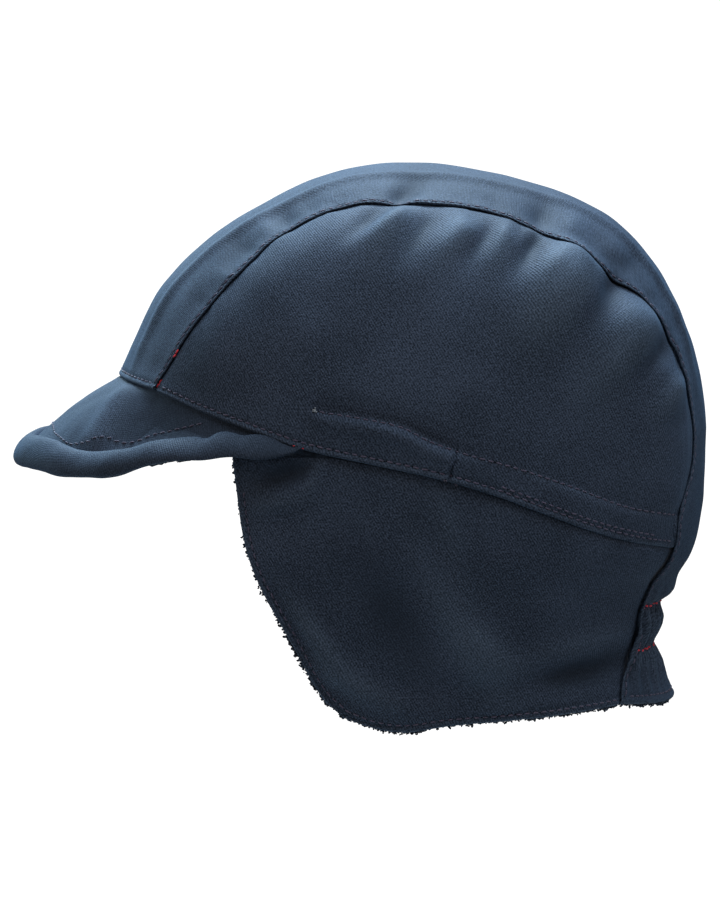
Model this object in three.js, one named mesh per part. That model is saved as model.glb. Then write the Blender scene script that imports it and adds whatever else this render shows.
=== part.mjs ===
// A winter work cap: a centre strip over the crown, two side panels, ear flaps with
// a pile lining, a padded cloth peak, and a nape that an elastic gathers.
// Millimetres. The front of the cap is toward -Y, the wearer's left is +X, +Z is up.
// The origin is the inside of the crown's top, where the wearer's head touches it.
// The shapes are worked out about the head centre, straight below the origin.

import * as THREE from "three";

// Driving sizes.
const CLOTH = 1.5; // wall of the folded and pressed twill
const PILE = 3; // wall of the pile lining
const GAP = 0.6; // left between neighbouring pieces
const LINING_GAP = 0.9; // left between the cloth and the lining behind it
const CROWN_HEIGHT = 101.5; // from the head centre to the outside of the top
const HALF_WIDTH = 86; // of the crown at the head centre
const FRONT_REACH = 112; // from the head centre to the brow
const SIDE_POWER = 2; // roundness of the crown across
const LENGTH_POWER = 2.2; // roundness of the crown along
const SEAM_FRONT = 169; // angle at which the crown meets the peak
const SEAM_BACK = -40.5; // level at which the side panel's seam meets the strip
const HEM_MIDDLE = -103.5; // level of the hem at the middle of the nape
const HEM_RISE = 3.5; // how much higher the nape's hem is at its two seams
const CASING_HEIGHT = 0.8; // the folded band stands out of the side panel by this

// The crown over the top, seen from the side: angle up from the back in degrees,
// distance from the head centre, and half the width of the centre strip.
const CROWN = {
  columns: ["angle", "radius", "half"],
  rows: [
    [0, 113, 33],
    [15, 112.7, 36],
    [30, 113, 42],
    [42, 112.5, 49],
    [55, 108.5, 49.5],
    [70, 103.2, 46],
    [90, 101.5, 46],
    [104, 101.7, 43],
    [122, 102, 43],
    [136, 105, 48],
    [150, 108, 49],
    [160, 109, 47],
    [169, 110.5, 44],
    [180, 112, 44],
  ],
};

// Below the head centre: level, reach of the back, half the width of the cap,
// half the width of the centre strip, and how far the nape bulges past the reach.
const NAPE = {
  columns: ["level", "back", "side", "half", "bulge"],
  rows: [
    [0, 112.9, 86, 33, 0],
    [-8, 112.6, 86, 33, 0],
    [-28, 111.3, 85.5, 42, 0],
    [-40, 109, 85, 41, 0],
    [-47, 106.5, 84, 39.5, 0],
    [-53, 102.8, 83, 40, 0.5],
    [-59, 99.4, 82.2, 41, 1.6],
    [-64.5, 97.4, 81.3, 40.5, -1.6],
    [-70, 96.2, 80.5, 40, 1.4],
    [-75, 95.4, 79.8, 40.5, 0.4],
    [-80, 95, 79, 41, -2],
    [-88, 96, 77, 46, 0.2],
    [-96, 99, 76, 49, 0.5],
    [-104, 102.5, 74, 51, 0],
  ],
};

// Lower edge of the crown in the side view, from the brow to the nape.
const CROWN_EDGE = {
  columns: ["y", "z"],
  rows: [
    [-94.5, 18.4],
    [-78, 12],
    [-60, 6],
    [-42, 0],
    [-17, -5.4],
    [11, -11.6],
    [31, -18],
    [46, -24],
    [69, -33],
    [84, -37.5],
    [96.6, -40.5],
  ],
};

// Upper edge of the folded band that is stitched to the side panel.
const CASING_START = -37;
const CASING_EDGE = {
  columns: ["y", "z"],
  rows: [
    [-94.5, 34],
    [-60, 20],
    [-36, 13.5],
    [-20, 11],
    [-5, 7.6],
    [4, 3],
    [14, -0.7],
    [37, -7.5],
    [60, -16],
    [77, -23],
    [98.2, -28.3],
  ],
};

// Outline of the ear flap in the side view: its front edge, then its hem.
const FLAP_FRONT = {
  columns: ["y", "z"],
  rows: [
    [-66, 1.5],
    [-64, -16],
    [-62, -34],
    [-58, -49],
    [-46, -71],
    [-34, -92],
    [-26, -99.5],
  ],
};
const FLAP_HEM = {
  columns: ["y", "z"],
  rows: [
    [-26, -99.5],
    [-15, -103.5],
    [-4, -105],
    [13, -103.4],
    [45, -101.8],
    [77, -100],
  ],
};

// Puckers and soft folds: middle of each in the side view, its length and width,
// the way it runs in degrees (0 is toward the back), and how far it stands out.
const FOLDS = {
  columns: ["y", "z", "length", "width", "turn", "height"],
  rows: [
    [-10, 78, 26, 7, 32, 1.2],
    [-16, 80, 24, 6, 38, -1.2],
    [21, 75, 22, 7, 27, 1.2],
    [35, 74, 16, 6, 46, -1.1],
    [50, 64, 18, 7, 44, 1.2],
    [62, 57, 16, 7, 70, -1],
    [76, 45, 24, 8, 42, 1.2],
    [90, 27, 18, 7, 42, 1.1],
    [-66, 69, 18, 9, 45, -1.2],
    [-47, 81, 16, 8, 30, -1],
    [2, 95, 20, 9, 0, -1.1],
    [48, 83, 18, 9, -35, -1.1],
    [74, 67, 18, 8, -50, -1.1],
    [-36, -73, 36, 9, -58, 1.3],
    [12, -29, 32, 10, -72, 1],
    [64, -85, 28, 12, 10, -1.4],
    [30, -78, 32, 12, -42, 1.2],
  ],
};

// The peak at stations round its rim: angle round the rim in degrees from the
// front, where its seam lies along the crown's edge, the rolled rim's lower and
// upper level, its thickness, how far the top bellies out, and the wall at the seam.
const PEAK_CENTRE_Y = -41;
const PEAK_REACH = 108;
const PEAK_HALF_WIDTH = 84.5;
const PEAK = {
  columns: ["turn", "seamY", "low", "high", "roll", "belly", "wall"],
  rows: [
    [0, -108.6, -12, -3, 8, 1.5, 4.5],
    [15, -106.5, -12, -2, 8, 2, 4.5],
    [26, -102.5, -12.4, -1.5, 8, 3, 4.5],
    [36, -98, -13.3, -4.5, 8, 3, 4.5],
    [45, -93.5, -12.7, -4.3, 8, 2, 4.5],
    [52, -88, -11.2, -2.8, 7.5, 1, 4.5],
    [58, -82, -7.4, 0.6, 7, 0, 4],
    [64, -75, -5.1, 2.4, 6.5, -0.5, 4],
    [70, -68, -4.4, 3.7, 5.5, -0.5, 3.5],
    [76, -60, -2.8, 4.8, 4.5, 0, 3],
    [82, -52, -4.4, 4.2, 3.6, 0, 2.5],
    [87, -45, -3.8, 0.9, 3, 0, 2],
    [90, -41, -3, -0.6, 2.4, 0, 1.6],
  ],
};
const PEAK_SINK = 1; // the peak's inner edge is this far under the crown's cloth
const PEAK_LINING = 2.5; // wall of the pile under the peak
const PEAK_LINING_GAP = 1; // below the peak's underside

// How finely each piece is divided.
const CROWN_STEPS = 25;
const UPPER_NAPE_STEPS = 5;
const LOWER_NAPE_STEPS = 19;
const STRIP_STEPS = 14;
const PANEL_STEPS_BELOW_CASING = 2;
const PANEL_STEPS_ABOVE_CASING = 6;
const FLAP_STEPS_ALONG = 16;
const FLAP_STEPS_DOWN = 11;
const PEAK_STEPS = 24;

// A smooth curve through one column of a table, read along another column.
function columnCurve(table, key, column) {
  const keyIndex = table.columns.indexOf(key);
  const valueIndex = table.columns.indexOf(column);
  const rows = [...table.rows].sort((a, b) => a[keyIndex] - b[keyIndex]);
  const keys = new Float32Array(rows.map((row) => row[keyIndex]));
  const values = new Float32Array(rows.map((row) => row[valueIndex]));
  const curve = new THREE.CubicInterpolant(keys, values, 1);
  return (at) => curve.evaluate(at)[0];
}

// The rows of a table as objects with a value for each column's name.
function namedRows(table) {
  return table.rows.map((row) =>
    Object.fromEntries(table.columns.map((name, i) => [name, row[i]])),
  );
}

// A smooth curve in the side view through the rows of a table of y and z.
function sideViewCurve(table) {
  const points = namedRows(table).map(({ y, z }) => new THREE.Vector3(0, y, z));
  const curve = new THREE.CatmullRomCurve3(points, false, "centripetal");
  curve.arcLengthDivisions = 400;
  return curve;
}

const crownRadius = columnCurve(CROWN, "angle", "radius");
const crownStripHalf = columnCurve(CROWN, "angle", "half");
const napeBack = columnCurve(NAPE, "level", "back");
const napeSide = columnCurve(NAPE, "level", "side");
const napeStripHalf = columnCurve(NAPE, "level", "half");
const napeBulge = columnCurve(NAPE, "level", "bulge");
const crownEdge = columnCurve(CROWN_EDGE, "y", "z");
const casingEdge = columnCurve(CASING_EDGE, "y", "z");
const folds = namedRows(FOLDS).map((fold) => ({
  ...fold,
  direction: [
    Math.cos(THREE.MathUtils.degToRad(fold.turn)),
    Math.sin(THREE.MathUtils.degToRad(fold.turn)),
  ],
}));

// How far out a side-view point is: 0 at the middle of the head, 1 at the outline.
function lengthShare(y, z) {
  if (z >= 0) {
    const angle = THREE.MathUtils.radToDeg(Math.atan2(z, y));
    return Math.hypot(y, z) / crownRadius(angle);
  }
  return y >= 0 ? y / napeBack(z) : -y / FRONT_REACH;
}

function halfWidthAt(z) {
  return z >= 0 ? HALF_WIDTH : napeSide(z);
}

// The point of the cap's surface at a side-view position, on the wearer's left.
function surfaceAt(y, z) {
  const rest = Math.max(0, 1 - lengthShare(y, z) ** LENGTH_POWER);
  return new THREE.Vector3(halfWidthAt(z) * rest ** (1 / SIDE_POWER), y, z);
}

// 1 on the cap's surface, less inside it and more outside it.
function surfaceLevel(point) {
  const across = Math.abs(point.x) / halfWidthAt(point.z);
  return across ** SIDE_POWER + lengthShare(point.y, point.z) ** LENGTH_POWER;
}

// The way out of the surface at one of its points.
function outwardAt(point) {
  const step = 0.5;
  const normal = new THREE.Vector3();
  for (const axis of ["x", "y", "z"]) {
    const ahead = point.clone();
    const behind = point.clone();
    ahead[axis] += step;
    behind[axis] -= step;
    normal[axis] = surfaceLevel(ahead) - surfaceLevel(behind);
  }
  return normal.normalize();
}

// How far the nape's bulges and the elastic's gathers move the cloth out.
function napeRelief(point) {
  const reach = Math.abs(point.x);
  const middle = 1 - THREE.MathUtils.smoothstep(reach, 24, 46);
  const behind = THREE.MathUtils.smoothstep(point.y, 20, 60);
  const elastic = Math.exp(-(((point.z + 72) / 16) ** 2));
  const pleats = 0.9 * Math.cos((2 * Math.PI * reach) / 19) * elastic;
  const shownBulge = point.z < 0 ? napeBulge(point.z) : 0;
  return (shownBulge + pleats) * middle * behind;
}

// How far the puckers and soft folds move the cloth out.
function foldRelief(point) {
  let relief = 0;
  for (const fold of folds) {
    const [cos, sin] = fold.direction;
    const dy = point.y - fold.y;
    const dz = point.z - fold.z;
    const along = (dy * cos + dz * sin) / (fold.length / 2);
    const across = (dz * cos - dy * sin) / (fold.width / 2);
    relief += fold.height * Math.exp(-(along ** 2) - across ** 2);
  }
  return relief;
}

// A closed solid between an outer and an inner grid of points, each a list of rows.
function solidBetween(outer, inner) {
  const rows = outer.length;
  const columns = outer[0].length;
  const positions = [...outer.flat(), ...inner.flat()].flatMap((p) => p.toArray());
  const outerIndex = (i, j) => i * columns + j;
  const innerIndex = (i, j) => rows * columns + i * columns + j;
  const index = [];
  const quad = (a, b, c, d) => index.push(a, b, c, a, c, d);
  for (let i = 0; i + 1 < rows; i++) {
    for (let j = 0; j + 1 < columns; j++) {
      const corners = [
        [i, j],
        [i, j + 1],
        [i + 1, j + 1],
        [i + 1, j],
      ];
      quad(...corners.map(([r, c]) => outerIndex(r, c)));
      quad(...corners.reverse().map(([r, c]) => innerIndex(r, c)));
    }
  }
  const rim = [
    ...Array.from({ length: columns - 1 }, (_, j) => [0, j]),
    ...Array.from({ length: rows - 1 }, (_, i) => [i, columns - 1]),
    ...Array.from({ length: columns - 1 }, (_, j) => [rows - 1, columns - 1 - j]),
    ...Array.from({ length: rows - 1 }, (_, i) => [rows - 1 - i, 0]),
  ];
  rim.forEach(([r, c], k) => {
    const [nextR, nextC] = rim[(k + 1) % rim.length];
    quad(
      outerIndex(nextR, nextC),
      outerIndex(r, c),
      innerIndex(r, c),
      innerIndex(nextR, nextC),
    );
  });
  const geometry = new THREE.BufferGeometry();
  geometry.setAttribute("position", new THREE.Float32BufferAttribute(positions, 3));
  geometry.setIndex(index);
  geometry.computeVertexNormals();
  return geometry;
}

// A wall that follows the cap's surface over a grid of its points. relief moves the
// cloth out, and depth is how far the wall's outside lies under the cloth's.
function wallOn(grid, wall, depth, relief) {
  const moved = (point, inward) => {
    const out = relief(point) - inward;
    return point.clone().addScaledVector(outwardAt(point), out);
  };
  const outer = grid.map((row) => row.map((point) => moved(point, depth)));
  const inner = grid.map((row) => row.map((point) => moved(point, depth + wall)));
  return solidBetween(outer, inner);
}

// The same solid on the wearer's other side.
function mirroredSolid(geometry) {
  const copy = geometry.clone().scale(-1, 1, 1);
  const corners = [...copy.getIndex().array];
  for (let i = 0; i < corners.length; i += 3) {
    [corners[i + 1], corners[i + 2]] = [corners[i + 2], corners[i + 1]];
  }
  copy.setIndex(corners);
  copy.computeVertexNormals();
  return copy;
}

// The stations along the centre strip, from the peak to the hem: crown angles, then
// nape levels as a share of the way down to the hem.
const crownStations = Array.from({ length: CROWN_STEPS }, (_, i) => ({
  angle: SEAM_FRONT * (1 - i / CROWN_STEPS),
}));
const upperNapeStations = Array.from({ length: UPPER_NAPE_STEPS }, (_, i) => ({
  level: (SEAM_BACK * i) / UPPER_NAPE_STEPS,
}));
const lowerNapeStations = Array.from({ length: LOWER_NAPE_STEPS + 1 }, (_, i) => ({
  level: THREE.MathUtils.lerp(SEAM_BACK, HEM_MIDDLE, i / LOWER_NAPE_STEPS),
}));
const stripStations = [...crownStations, ...upperNapeStations, ...lowerNapeStations];

function stripHalfAt(station) {
  return station.angle === undefined
    ? napeStripHalf(station.level)
    : crownStripHalf(station.angle);
}

// The strip's surface at a station and a distance across from the middle.
function stripPoint(station, x) {
  if (station.angle !== undefined) {
    const rest = 1 - Math.abs(x / HALF_WIDTH) ** SIDE_POWER;
    const rho = crownRadius(station.angle) * rest ** (1 / LENGTH_POWER);
    const angle = THREE.MathUtils.degToRad(station.angle);
    return new THREE.Vector3(x, rho * Math.cos(angle), rho * Math.sin(angle));
  }
  const shareDown = Math.max(0, (station.level - SEAM_BACK) / (HEM_MIDDLE - SEAM_BACK));
  const atSeam = Math.min(1, Math.abs(x) / stripHalfAt(station));
  const z = station.level + HEM_RISE * shareDown ** 2 * atSeam ** 2;
  const rest = 1 - Math.abs(x / halfWidthAt(z)) ** SIDE_POWER;
  return new THREE.Vector3(x, napeBack(z) * rest ** (1 / LENGTH_POWER), z);
}

function seamPoint(station) {
  return stripPoint(station, stripHalfAt(station));
}

function stripGrid(stations, steps) {
  return stations.map((station) => {
    const half = stripHalfAt(station) - GAP / 2;
    return Array.from({ length: steps + 1 }, (_, j) =>
      stripPoint(station, half * ((2 * j) / steps - 1)),
    );
  });
}

// A side-view grid pulled in at its edges by half the gap, then laid on the surface.
function layOnSurface(sideGrid) {
  const rows = sideGrid.length;
  const columns = sideGrid[0].length;
  const middle = sideGrid[Math.floor(rows / 2)][Math.floor(columns / 2)];
  return sideGrid.map((row, i) =>
    row.map((point, j) => {
      const onEdge = i === 0 || j === 0 || i === rows - 1 || j === columns - 1;
      const pull = new THREE.Vector3(0, middle.y - point.y, middle.z - point.z);
      pull.setLength(onEdge ? GAP / 2 : 0);
      return surfaceAt(point.y + pull.y, point.z + pull.z);
    }),
  );
}

// The side panel: a column of points for each station, from the crown's lower edge
// up to the strip's seam, with two rows where the folded band ends.
function sidePanelGrid() {
  const stations = [...crownStations, ...upperNapeStations, lowerNapeStations[0]];
  const backY = seamPoint(lowerNapeStations[0]).y;
  const frontY = seamPoint(crownStations[0]).y;
  const columns = stations.map((station, i) => {
    const top = seamPoint(station);
    const footY = THREE.MathUtils.lerp(frontY, backY, i / (stations.length - 1));
    const foot = new THREE.Vector3(0, footY, crownEdge(footY));
    const toTop = (share) => new THREE.Vector3().lerpVectors(foot, top, share);
    const height = Math.max(top.z - foot.z, 1e-6);
    const bandTop = (casingEdge(footY) - foot.z) / height;
    const band = THREE.MathUtils.clamp(bandTop, 0.06, 0.4);
    const shares = [];
    for (let k = 0; k < PANEL_STEPS_BELOW_CASING; k++) {
      shares.push((band * k) / PANEL_STEPS_BELOW_CASING);
    }
    shares.push(band - 0.01, band + 0.01);
    for (let k = 1; k <= PANEL_STEPS_ABOVE_CASING; k++) {
      shares.push(THREE.MathUtils.lerp(band, 1, k / PANEL_STEPS_ABOVE_CASING));
    }
    return shares.map(toTop);
  });
  const rows = columns[0].map((_, k) => columns.map((column) => column[k]));
  return layOnSurface(rows);
}

function panelRelief(point) {
  const inBand = point.z < casingEdge(point.y) && point.y > CASING_START;
  return foldRelief(point) + napeRelief(point) + (inBand ? CASING_HEIGHT : 0);
}

function clothRelief(point) {
  return foldRelief(point) + napeRelief(point);
}

// The ear flap's upper edge: it runs under the peak's inner edge at the front, then
// along the crown's lower edge.
function flapTop(y) {
  const underPeak = 1 - THREE.MathUtils.smoothstep(y, -52, -28);
  return crownEdge(y) - underPeak * 6;
}

// The ear flap as a grid between its top, its hem, its front edge and the seam.
function flapGrid() {
  const front = sideViewCurve(FLAP_FRONT);
  const hem = sideViewCurve(FLAP_HEM);
  const frontTop = front.getPointAt(0);
  const seamTop = seamPoint(lowerNapeStations[0]);
  const seamFoot = seamPoint(lowerNapeStations[LOWER_NAPE_STEPS]);
  const topAt = (u) => {
    const y = THREE.MathUtils.lerp(frontTop.y, seamTop.y, u);
    return new THREE.Vector3(0, y, flapTop(y));
  };
  const seamAt = (v) => {
    const level = THREE.MathUtils.lerp(SEAM_BACK, HEM_MIDDLE, v);
    const point = seamPoint({ level });
    return new THREE.Vector3(0, point.y, point.z);
  };
  const hemAt = (u) => {
    const point = hem.getPointAt(u);
    const end = new THREE.Vector3(0, seamFoot.y, seamFoot.z).sub(hem.getPointAt(1));
    return point.addScaledVector(end, u);
  };
  const corner = { a: topAt(0), b: topAt(1), c: hemAt(0), d: hemAt(1) };
  const rows = [];
  for (let i = 0; i <= FLAP_STEPS_DOWN; i++) {
    const v = i / FLAP_STEPS_DOWN;
    const row = [];
    for (let j = 0; j <= FLAP_STEPS_ALONG; j++) {
      const u = j / FLAP_STEPS_ALONG;
      const point = new THREE.Vector3()
        .addScaledVector(topAt(u), 1 - v)
        .addScaledVector(hemAt(u), v)
        .addScaledVector(front.getPointAt(v), 1 - u)
        .addScaledVector(seamAt(v), u)
        .addScaledVector(corner.a, -(1 - u) * (1 - v))
        .addScaledVector(corner.b, -u * (1 - v))
        .addScaledVector(corner.c, -(1 - u) * v)
        .addScaledVector(corner.d, -u * v);
      row.push(point);
    }
    rows.push(row);
  }
  return layOnSurface(rows.reverse());
}

const peakColumn = Object.fromEntries(
  PEAK.columns.slice(1).map((name) => [name, columnCurve(PEAK, "turn", name)]),
);

// The peak's seam on the crown at a position along the cap, on the wearer's left.
function peakSeam(y) {
  const frontSeamY = seamPoint(crownStations[0]).y;
  if (y >= frontSeamY) return surfaceAt(y, crownEdge(y));
  const middleY = stripPoint(crownStations[0], 0).y;
  const share = THREE.MathUtils.clamp((y - middleY) / (frontSeamY - middleY), 0, 1);
  return stripPoint(crownStations[0], stripHalfAt(crownStations[0]) * Math.sqrt(share));
}

// The peak's section at a turn in degrees from the front, toward the wearer's left:
// its top from the seam to the rim, round the roll, and back along its underside.
function peakSection(turn) {
  const read = (name) => peakColumn[name](turn);
  const radians = THREE.MathUtils.degToRad(turn);
  const seam = peakSeam(read("seamY"));
  const out = outwardAt(seam);
  const start = seam.clone().addScaledVector(out, -PEAK_SINK);
  const rim = new THREE.Vector3(
    PEAK_HALF_WIDTH * Math.sin(radians),
    PEAK_CENTRE_Y - PEAK_REACH * Math.cos(radians),
    (read("low") + read("high")) / 2,
  );
  const away = new THREE.Vector3(
    Math.sin(radians) / PEAK_HALF_WIDTH,
    -Math.cos(radians) / PEAK_REACH,
    0,
  ).normalize();
  const up = new THREE.Vector3(0, 0, 1);
  const middle = rim.clone().addScaledVector(away, -read("roll") / 2);
  const roll = (degrees) => {
    const a = THREE.MathUtils.degToRad(degrees);
    return middle
      .clone()
      .addScaledVector(away, (Math.cos(a) * read("roll")) / 2)
      .addScaledVector(up, (Math.sin(a) * (read("high") - read("low"))) / 2);
  };
  const topInner = start.clone().addScaledVector(up, -GAP);
  const lowInner = start.clone().addScaledVector(up, -GAP - read("wall"));
  const points = [];
  const topSteps = 5;
  for (let k = 0; k < topSteps; k++) {
    const share = k / topSteps;
    const belly = read("belly") * 4 * share * (1 - share);
    const point = new THREE.Vector3().lerpVectors(topInner, roll(150), share);
    points.push(point.addScaledVector(up, belly));
  }
  for (const degrees of [150, 110, 70, 30, -10, -50, -90, -140]) {
    points.push(roll(degrees));
  }
  const underSteps = 4;
  for (let k = 1; k <= underSteps; k++) {
    const share = k / underSteps;
    const belly = read("belly") * 3 * share * (1 - share);
    const point = new THREE.Vector3().lerpVectors(roll(-140), lowInner, share);
    points.push(point.addScaledVector(up, belly));
  }
  return points;
}

// A point beyond the middle of the peak is its mirror image.
function mirrored(section) {
  return section.map((p) => new THREE.Vector3(-p.x, p.y, p.z));
}

// Closed sections joined one to the next, with a flat end at the first and last.
function solidThrough(sections) {
  const count = sections[0].length;
  const positions = sections.flat().flatMap((p) => p.toArray());
  const index = [];
  for (let i = 0; i + 1 < sections.length; i++) {
    for (let j = 0; j < count; j++) {
      const next = (j + 1) % count;
      const a = i * count + j;
      const b = i * count + next;
      const c = (i + 1) * count + next;
      const d = (i + 1) * count + j;
      index.push(a, b, c, a, c, d);
    }
  }
  const last = (sections.length - 1) * count;
  for (let j = 1; j + 1 < count; j++) {
    index.push(0, j + 1, j);
    index.push(last, last + j, last + j + 1);
  }
  const geometry = new THREE.BufferGeometry();
  geometry.setAttribute("position", new THREE.Float32BufferAttribute(positions, 3));
  geometry.setIndex(index);
  geometry.computeVertexNormals();
  return geometry;
}

function peakTurns(widest) {
  return Array.from({ length: PEAK_STEPS + 1 }, (_, i) => widest * ((2 * i) / PEAK_STEPS - 1));
}

function sectionAt(turn) {
  return turn < 0 ? mirrored(peakSection(-turn)) : peakSection(turn);
}

// The pile under the peak: a thin wall just below the peak's underside.
function peakLiningSection(turn) {
  const section = sectionAt(turn);
  const inner = section[section.length - 1];
  const outer = section[section.length - 5];
  const drop = new THREE.Vector3(0, 0, -PEAK_LINING_GAP);
  const wall = new THREE.Vector3(0, 0, -PEAK_LINING);
  const belly = peakColumn.belly(Math.abs(turn));
  const steps = 4;
  const upper = Array.from({ length: steps + 1 }, (_, k) => {
    const share = THREE.MathUtils.lerp(0.12, 0.84, k / steps);
    const sag = Math.min(0, belly) * 3 * share * (1 - share);
    const point = new THREE.Vector3().lerpVectors(outer, inner, share);
    return point.add(drop).add(new THREE.Vector3(0, 0, sag));
  });
  const lower = upper.map((point) => point.clone().add(wall)).reverse();
  return [...upper, ...lower].reverse();
}

// Materials.
const twill = (name, color) =>
  new THREE.MeshStandardMaterial({ name, color, roughness: 0.85, metalness: 0 });
const stripCloth = twill("strip twill", 0x3a4c61);
const panelCloth = twill("panel twill", 0x2c3b4d);
const flapCloth = twill("flap twill", 0x263343);
const peakCloth = twill("peak twill", 0x34475b);
const pile = new THREE.MeshStandardMaterial({
  name: "navy pile",
  color: 0x171d27,
  roughness: 1,
  metalness: 0,
});

const cap = new THREE.Group();
const pieces = new THREE.Group();
pieces.position.z = CLOTH - CROWN_HEIGHT;
cap.add(pieces);

function addPiece(name, geometry, material) {
  const mesh = new THREE.Mesh(geometry, material);
  mesh.name = name;
  pieces.add(mesh);
}

// The centre strip, from the peak over the crown to the hem at the nape.
const strip = stripGrid(stripStations, STRIP_STEPS);
addPiece("centre_strip", wallOn(strip, CLOTH, 0, clothRelief), stripCloth);

// The side panels, ear flaps and their pile lining, left and then mirrored right.
const liningDepth = CLOTH + LINING_GAP;
const flap = flapGrid();
const pairs = [
  ["side_panel", wallOn(sidePanelGrid(), CLOTH, 0, panelRelief), panelCloth],
  ["ear_flap", wallOn(flap, CLOTH, 0, clothRelief), flapCloth],
  ["pile_lining", wallOn(flap, PILE, liningDepth, clothRelief), pile],
];
for (const [name, solid, material] of pairs) {
  addPiece(name + "_left", solid, material);
  addPiece(name + "_right", mirroredSolid(solid), material);
}

// The lining behind the nape, between the two flaps' linings.
const napeLining = stripGrid(lowerNapeStations, STRIP_STEPS);
const napeWall = wallOn(napeLining, PILE, liningDepth, clothRelief);
addPiece("pile_lining_nape", napeWall, pile);

// The peak and the pile under it.
addPiece("peak", solidThrough(peakTurns(90).map(sectionAt)), peakCloth);
const liningSections = peakTurns(62).map(peakLiningSection);
addPiece("pile_lining_peak", solidThrough(liningSections), pile);

export default cap;
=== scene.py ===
"""The looks of a winter work cap: twill panels, a padded peak, pile lining and its stitching."""

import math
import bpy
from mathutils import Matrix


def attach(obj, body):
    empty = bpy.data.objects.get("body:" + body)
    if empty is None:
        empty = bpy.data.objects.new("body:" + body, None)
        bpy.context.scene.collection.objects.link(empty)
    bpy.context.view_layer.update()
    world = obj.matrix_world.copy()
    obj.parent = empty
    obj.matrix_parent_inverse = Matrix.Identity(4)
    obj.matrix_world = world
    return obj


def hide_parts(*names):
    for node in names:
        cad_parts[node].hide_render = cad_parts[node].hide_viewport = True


bl_info = {
    "name": "Winter work cap",
    "version": (1, 0, 0),
    "blender": (4, 5, 0),
    "location": "3D Viewport > Sidebar > Work cap",
    "description": "Models a navy winter work cap around its packed frame",
    "category": "Add Mesh",
}

import bpy
import numpy as np
from bpy.props import FloatProperty, FloatVectorProperty, IntProperty, PointerProperty
from mathutils import Vector
from mathutils.bvhtree import BVHTree

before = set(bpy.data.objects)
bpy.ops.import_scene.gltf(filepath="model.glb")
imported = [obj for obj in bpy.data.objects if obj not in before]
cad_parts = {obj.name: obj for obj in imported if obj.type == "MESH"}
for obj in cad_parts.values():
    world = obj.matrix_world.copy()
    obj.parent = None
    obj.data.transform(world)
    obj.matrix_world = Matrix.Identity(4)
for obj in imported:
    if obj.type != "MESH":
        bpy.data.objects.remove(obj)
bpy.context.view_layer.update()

MM = 0.001
BODY = "root"
BIN = {}  # what one operator leaves for the next: surfaces to sew on, and the cap's edges


class Table:
    """A short table whose columns have names, and smooth curves through its columns."""

    def __init__(self, columns, rows):
        self.columns = columns
        self.rows = rows

    def column(self, name):
        index = self.columns.index(name)
        return np.array([row[index] for row in self.rows], float)

    def named(self):
        return [dict(zip(self.columns, row)) for row in self.rows]

    def curve(self, key, column):
        order = np.argsort(self.column(key))
        keys = self.column(key)[order]
        values = self.column(column)[order]
        steps = np.diff(keys)
        slopes = np.diff(values) / steps
        tangents = np.concatenate(([slopes[0]], (slopes[1:] + slopes[:-1]) / 2, [slopes[-1]]))

        def read(at):
            at = np.clip(at, keys[0], keys[-1])
            i = np.clip(np.searchsorted(keys, at, side="right") - 1, 0, len(steps) - 1)
            t = (at - keys[i]) / steps[i]
            start = (2 * t**3 - 3 * t**2 + 1) * values[i]
            leave = (t**3 - 2 * t**2 + t) * steps[i] * tangents[i]
            end = (3 * t**2 - 2 * t**3) * values[i + 1]
            arrive = (t**3 - t**2) * steps[i] * tangents[i + 1]
            return start + leave + end + arrive

        return read


# The cap's form in millimetres about the head centre, as in the part's source.
CROWN_HEIGHT = 101.5
FRAME_WALL = 1.5
HEAD_CENTRE_Z = FRAME_WALL - CROWN_HEIGHT
HALF_WIDTH = 86
FRONT_REACH = 112
SIDE_POWER = 2
LENGTH_POWER = 2.2
SEAM_FRONT = 169
SEAM_BACK = -40.5
HEM_MIDDLE = -101.5
HEM_RISE = 3.5

# The outline over the head: an angle from the back over the top, the distance from the head
# centre, and half the strip's width.
CROWN = Table(
    ("angle", "radius", "half"),
    [
        (0, 113, 33),
        (15, 112.7, 36),
        (30, 113, 42),
        (42, 112.5, 49),
        (55, 108.5, 49.5),
        (70, 103.2, 46),
        (90, 101.5, 46),
        (104, 101.7, 43),
        (122, 102, 43),
        (136, 105, 48),
        (150, 108, 49),
        (160, 109, 47),
        (169, 110.5, 44),
        (180, 112, 44),
    ],
)
# Below the head centre: the level, how far back and half how wide the cap is, half the
# strip's width, and the nape's bulge.
NAPE = Table(
    ("level", "back", "side", "half", "bulge"),
    [
        (0, 112.9, 86, 33, 0),
        (-8, 112.6, 86, 33, 0),
        (-28, 112, 85.5, 42, 0),
        (-40, 110, 85, 41, 0),
        (-47, 107.2, 84, 41.5, 0),
        (-53, 102.8, 83, 42.5, 0.5),
        (-59, 99.4, 82.2, 42.5, 1.6),
        (-64.5, 97.4, 81.3, 43, -1.6),
        (-70, 96.2, 80.5, 43, 0.2),
        (-75, 95.4, 79.8, 43, -0.5),
        (-80, 95, 79, 43.5, -1.5),
        (-88, 96, 77, 46, 0.8),
        (-96, 99, 76, 49, 0.5),
        (-104, 102.5, 74, 51, 0),
    ],
)
# The crown's lower edge in side view.
CROWN_EDGE = Table(
    ("y", "z"),
    [
        (-94.5, 18.4),
        (-78, 12),
        (-60, 6),
        (-42, 0),
        (-17, -5.4),
        (11, -11.6),
        (31, -18),
        (46, -24),
        (69, -33),
        (84, -37.5),
        (96.6, -40.5),
    ],
)
# The stitched row above that edge, which holds the casing from this y on.
CASING_START = -37
CASING_EDGE = Table(
    ("y", "z"),
    [
        (-94.5, 34),
        (-60, 20),
        (-36, 13.5),
        (-20, 11),
        (-5, 7.6),
        (4, 3),
        (14, -0.7),
        (37, -7.5),
        (60, -16),
        (77, -23),
        (98.2, -28.3),
    ],
)
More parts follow.
